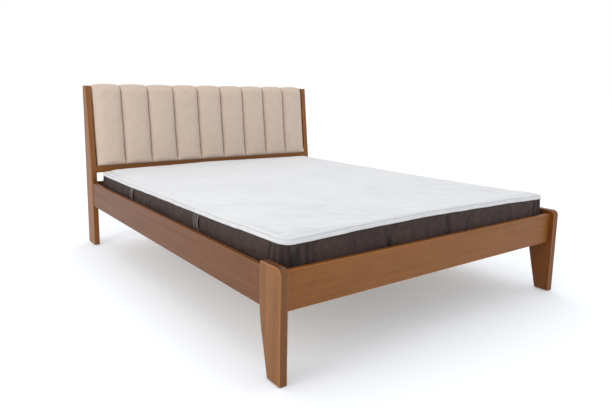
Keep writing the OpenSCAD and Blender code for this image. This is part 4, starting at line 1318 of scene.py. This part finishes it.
        # The field in rings 8 mm apart; the waves of the edge die away into it
        for step in range(94):
            d = min((44 + 8 * step) * MM, self.width / 2 - 12 * MM)
            keep = math.exp(-((d - roll_end) / (62 * MM)))
            rings.append((d, lambda k, rise, way, d=d, keep=keep: base(d) + keep * (
                self.tape_foot(rise, way) + roll_top - base(roll_end))))
        made = self.band("mattress_quilt_cloth", rings, lambda k, way, g: 0.0, False)
        self.quilting(made, len(tucked))
        close_ends(made, len(self.way_round()) - 1)
        self.finish(made, TICKING, "quilt_fabric", "mattress_quilted_top")
        return made

    def quilting(self, cloth: bpy.types.Object, first: int) -> None:
        """Presses the slack of the cloth and its creases into the top.

        Args:
            cloth: The quilted top.
            first: Number of its first ring that is free to swell.
        """
        mesh = cloth.data
        count = len(self.way_round()) - 1
        places = np.zeros(len(mesh.vertices) * 3)
        mesh.vertices.foreach_get("co", places)
        places = places.reshape(-1, 3)
        free = places[first * count:]
        x, y = free[:, 0], free[:, 1]
        to_side, to_end = self.width / 2 - np.abs(x), self.length / 2 - np.abs(y - self.centre_y)
        near = np.maximum(0.0, np.minimum(to_side, to_end))
        soft = np.array([wander(a, b, 0.28, 51) for a, b in zip(x, y)])
        pucker = np.array([wander(a, b, 0.05, 55) for a, b in zip(x, y)])
        to_corner = np.hypot(to_side, to_end)
        # Behind the roll at the edge the cloth dips, most of all at the corners
        dip = np.exp(-((near - 34 * MM) / (15 * MM)) ** 2) * (0.2 + np.exp(-(to_corner / 0.28) ** 2))
        crease = self.creases(x, y) * np.minimum(1.0, near / (30 * MM))
        push = 0.5 * MM * soft * np.minimum(1.0, near / (30 * MM)) - 3.2 * MM * dip - crease
        push += 1.2 * MM * pucker * np.exp(-near / (50 * MM)) * np.minimum(1.0, near / (12 * MM))
        free[:, 2] += push
        # The groove between the tape and the roll is the deepest fold of all
        groove = np.exp(-(near / (7 * MM)) ** 4)
        folds = np.maximum(groove, 0.25 * dip + crease / (11 * MM))
        mark_folds(cloth, np.concatenate([np.ones(first * count), folds]))
        mesh.vertices.foreach_set("co", places.ravel())
        mesh.update()

    def creases(self, x: np.ndarray, y: np.ndarray) -> np.ndarray:
        """Depth of the short slack creases, which lie side by side, most of them near the foot.

        Args:
            x: First coordinates of points on the top.
            y: Second coordinates of the same points.

        Returns:
            How far each point lies below the smooth top.
        """
        pick = np.random.default_rng(19)
        foot = self.centre_y - self.length / 2
        deep = np.zeros(len(x))
        for _ in range(self.top_creases):
            share = pick.uniform(0, 1) ** 1.9
            mid_x, mid_y = pick.uniform(-0.74, 0.74), foot + 0.05 + 1.5 * share
            turn = self.crease_turn + math.radians(pick.normal(0, 8))
            half, wide = pick.uniform(40, 130) * MM, pick.uniform(5.0, 8.0) * MM
            most, bend = pick.uniform(0.8, 3.6) * MM * (1 - 0.6 * share), pick.normal(0, 0.5)
            along = (x - mid_x) * math.cos(turn) + (y - mid_y) * math.sin(turn)
            off = (y - mid_y) * math.cos(turn) - (x - mid_x) * math.sin(turn) + bend * along ** 2
            fade = np.exp(-(along / half) ** 4)
            # A soft ridge stands beside each crease
            ridge = 0.5 * np.exp(-((off + 2.4 * wide) / (1.7 * wide)) ** 2)
            deep += most * fade * (np.exp(-(off / wide) ** 2) - ridge)
        return deep

    def handle(self, side: int, spot: float, number: int) -> bpy.types.Object:
        """Sews a carrying handle: an upright strap that bows out between its two sewn ends.

        Args:
            side: -1 for the left side and 1 for the right.
            spot: Distance of its middle from the foot end.
            number: The handle's number in its name.

        Returns:
            The handle.
        """
        share = (spot - self.corner) / (self.length - 2 * self.corner)
        top = self.edge_top - self.tape_drop + self.side_rise(share) - 1.5 * MM
        rows, columns, thick = 26, 12, 2.4 * MM
        steps = [2 * j / columns - 1 for j in range(columns + 1)]
        # Round each cross-section: along its outer face, then back along its inner face
        ways = [(s, 1) for s in steps] + [(s, 0) for s in reversed(steps)]
        net = np.zeros((rows + 1, len(ways), 3))
        flat = np.zeros((rows + 2, len(ways) + 1, 2))
        for i in range(rows + 1):
            t = i / rows
            bow = self.handle_bow * max(0.0, math.sin(math.pi * min(max((t - 0.1) / 0.8, 0), 1))) ** 0.8
            narrow = 1 - 0.05 * math.sin(math.pi * t)
            sunk = 1.8 * MM * max(0.0, (t - 0.86) / 0.14)
            for j, (s, outer) in enumerate(ways):
                s *= side
                y = spot - self.length / 2 + self.centre_y + s * narrow * self.handle_width / 2
                cup = 1.2 * MM * (1 - s * s) * math.sin(math.pi * t)
                cup += 0.5 * MM * wander(y, t, 0.02, 61 + number)
                # The selvedges are thicker than the middle of the webbing
                body = thick * (0.82 + 0.18 * s ** 4) * (1 - 0.75 * max(0.0, (abs(s) - 0.9) / 0.1) ** 2)
                x = self.width / 2 + bow + cup * min(1.0, bow / (2 * MM)) + outer * body + 0.5 * MM - sunk
                net[i, j] = (side * x, y, top - self.handle_height * (1 - t))
                flat[i, j] = (s * self.handle_width / 2, t * self.handle_height)
            flat[i, -1] = flat[i, 0]
        made = skin(f"mattress_handle_{number}", net, True, flat)
        close_ends(made, len(ways))
        self.finish(made, HANDLE_CLOTH, "handle_webbing", "mattress_handles")
        return made

    def finish(self, piece: bpy.types.Object, cloth: Finish, slot: str, *nodes: str) -> None:
        """Gives a sewn piece its cloth, hangs it on the mattress's body and hides the CAD nodes that it
        stands for.

        Args:
            piece: The sewn piece.
            cloth: Its finish.
            slot: Not used.
            *nodes: The CAD nodes whose place it takes.
        """
        cloth.dress(piece)
        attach(piece, "mattress")
        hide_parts(*nodes)

    def dress(self) -> None:
        """Gives the kept CAD nodes of the mattress their finishes."""
        dress_nodes(FOAM, "mattress_core", "mattress_base_foam", "mattress_comfort_foam")

    def build(self) -> None:
        """Sews every piece of the mattress."""
        upper = self.tape("mattress_tape_cloth", self.tape_foot, "mattress_top_tape")
        lower = self.tape("mattress_lower_tape_cloth", lambda rise, way: self.bottom, "mattress_bottom_tape")
        log.info("built %s and %s", upper.name, lower.name)
        log.info("built %s", self.base_cloth().name)
        log.info("built %s", self.border().name)
        log.info("built %s", self.quilt().name)
        number = 0
        for side in (-1, 1):
            for spot in self.handle_spots:
                number += 1
                log.info("built %s", self.handle(side, spot, number).name)
        self.dress()


# Studio


@dataclass
class Studio:
    """A white room with soft lights, and the camera at the photograph's place."""

    # The camera fitted to the photograph: its place, its turn to the right of +Y, its pitch downwards and
    # its roll, then its focal length and its centre, which doesn't lie in the picture's middle
    eye: tuple[float, float, float] = (-1.8418, -2.5325, 1.0046)
    turn: float = math.radians(36.091)
    pitch: float = math.radians(9.241)
    roll: float = math.radians(-0.903)
    focal_px: float = 556.57
    centre_px: tuple[float, float] = (295.119, 179.093)
    width_px: int = 612
    height_px: int = 408

    def camera(self) -> None:
        """Sets up the camera from its place, direction, focal length and centre in the photograph."""
        a, e = self.turn, self.pitch
        forward = Vector((math.sin(a) * math.cos(e), math.cos(a) * math.cos(e), -math.sin(e)))
        right = Vector((math.cos(a), -math.sin(a), 0))
        down = forward.cross(right)
        c, s = math.cos(self.roll), math.sin(self.roll)
        right, down = c * right + s * down, -s * right + c * down
        lens = bpy.data.cameras.new("camera")
        lens.sensor_width = 36
        lens.lens = self.focal_px / self.width_px * 36
        lens.shift_x = (self.width_px / 2 - self.centre_px[0]) / self.width_px
        lens.shift_y = (self.centre_px[1] - self.height_px / 2) / self.width_px
        lens.clip_end = 100
        made = bpy.data.objects.new("camera", lens)
        made.matrix_world = Matrix.Translation(self.eye) @ Matrix(
            (right, -down, -forward)).transposed().to_4x4()
        bpy.context.scene.collection.objects.link(made)
        bpy.context.scene.camera = made

    def light(self, name: str, at: tuple[float, float, float], aim: tuple[float, float, float],
              size: float, watts: float, tint: str) -> None:
        """Hangs a square soft box.

        Args:
            name: The light's name.
            at: Its place.
            aim: The point that it faces.
            size: The length of its side.
            watts: Its power.
            tint: Its colour as an sRGB hex value.
        """
        lamp = bpy.data.lights.new(name, "AREA")
        lamp.size = size
        lamp.energy = watts
        lamp.color = colour(tint)[:3]
        made = bpy.data.objects.new(name, lamp)
        made.location = at
        made.rotation_euler = (Vector(aim) - Vector(at)).to_track_quat("-Z", "Y").to_euler()
        bpy.context.scene.collection.objects.link(made)

    def sky_glow(self, towards: tuple[float, float, float], strength: float, spread: float) -> None:
        """Adds very soft light from far away, above and behind the bed.

        Args:
            towards: The direction that it comes from.
            strength: Its strength in watts per square metre.
            spread: The angle that it seems to fill, in radians.
        """
        lamp = bpy.data.lights.new("sky_glow", "SUN")
        lamp.energy = strength
        lamp.angle = spread
        made = bpy.data.objects.new("sky_glow", lamp)
        made.rotation_euler = Vector(towards).to_track_quat("Z", "Y").to_euler()
        bpy.context.scene.collection.objects.link(made)

    def floor(self) -> None:
        """Lays the pale floor, which glows a little so that it melts into the white room."""
        bpy.ops.mesh.primitive_plane_add(size=60, location=(0, 0, -0.0005))
        plane = bpy.context.object
        plane.name = "studio_floor"
        paint = bpy.data.materials.new("studio_paper_white")
        paint.use_nodes = True
        paint.node_tree.nodes.clear()
        shader = put(paint.node_tree, "BsdfPrincipled", {
            "Base Color": colour("DFE3E9"), "Roughness": 0.9, "Specular IOR Level": 0.2,
            "Emission Color": colour("F8FAFF"), "Emission Strength": 0.22})
        put(paint.node_tree, "OutputMaterial", {"Surface": shader.outputs[0]})
        plane.data.materials.append(paint)

    def build(self) -> None:
        """Sets up the floor, the lights, the white surround and the camera."""
        self.floor()
        world = bpy.data.worlds.new("surround")
        world.use_nodes = True
        world.node_tree.nodes["Background"].inputs[0].default_value = colour("FFFFFF")
        world.node_tree.nodes["Background"].inputs[1].default_value = 1.0
        bpy.context.scene.world = world
        bpy.context.scene.view_settings.view_transform = "Standard"
        self.light("soft_box_left", at=(-5.0, -0.6, 2.4), aim=(0, 0, 0.4), size=2.6, watts=70, tint="FFF8F0")
        self.sky_glow(towards=(0.3, 0.6, 1.0), strength=0.6, spread=math.radians(70))
        self.camera()


def main() -> None:
    """Builds and dresses the bed and sets up the studio."""
    for job in (WoodenFrame(), SlatBase()):
        job.dress()
    headboard = Headboard()
    log.info("built %s and %s", headboard.cover().name, headboard.lining().name)
    headboard.dress()
    Mattress().build()
    Studio().build()


if __name__ == "__main__":
    main()
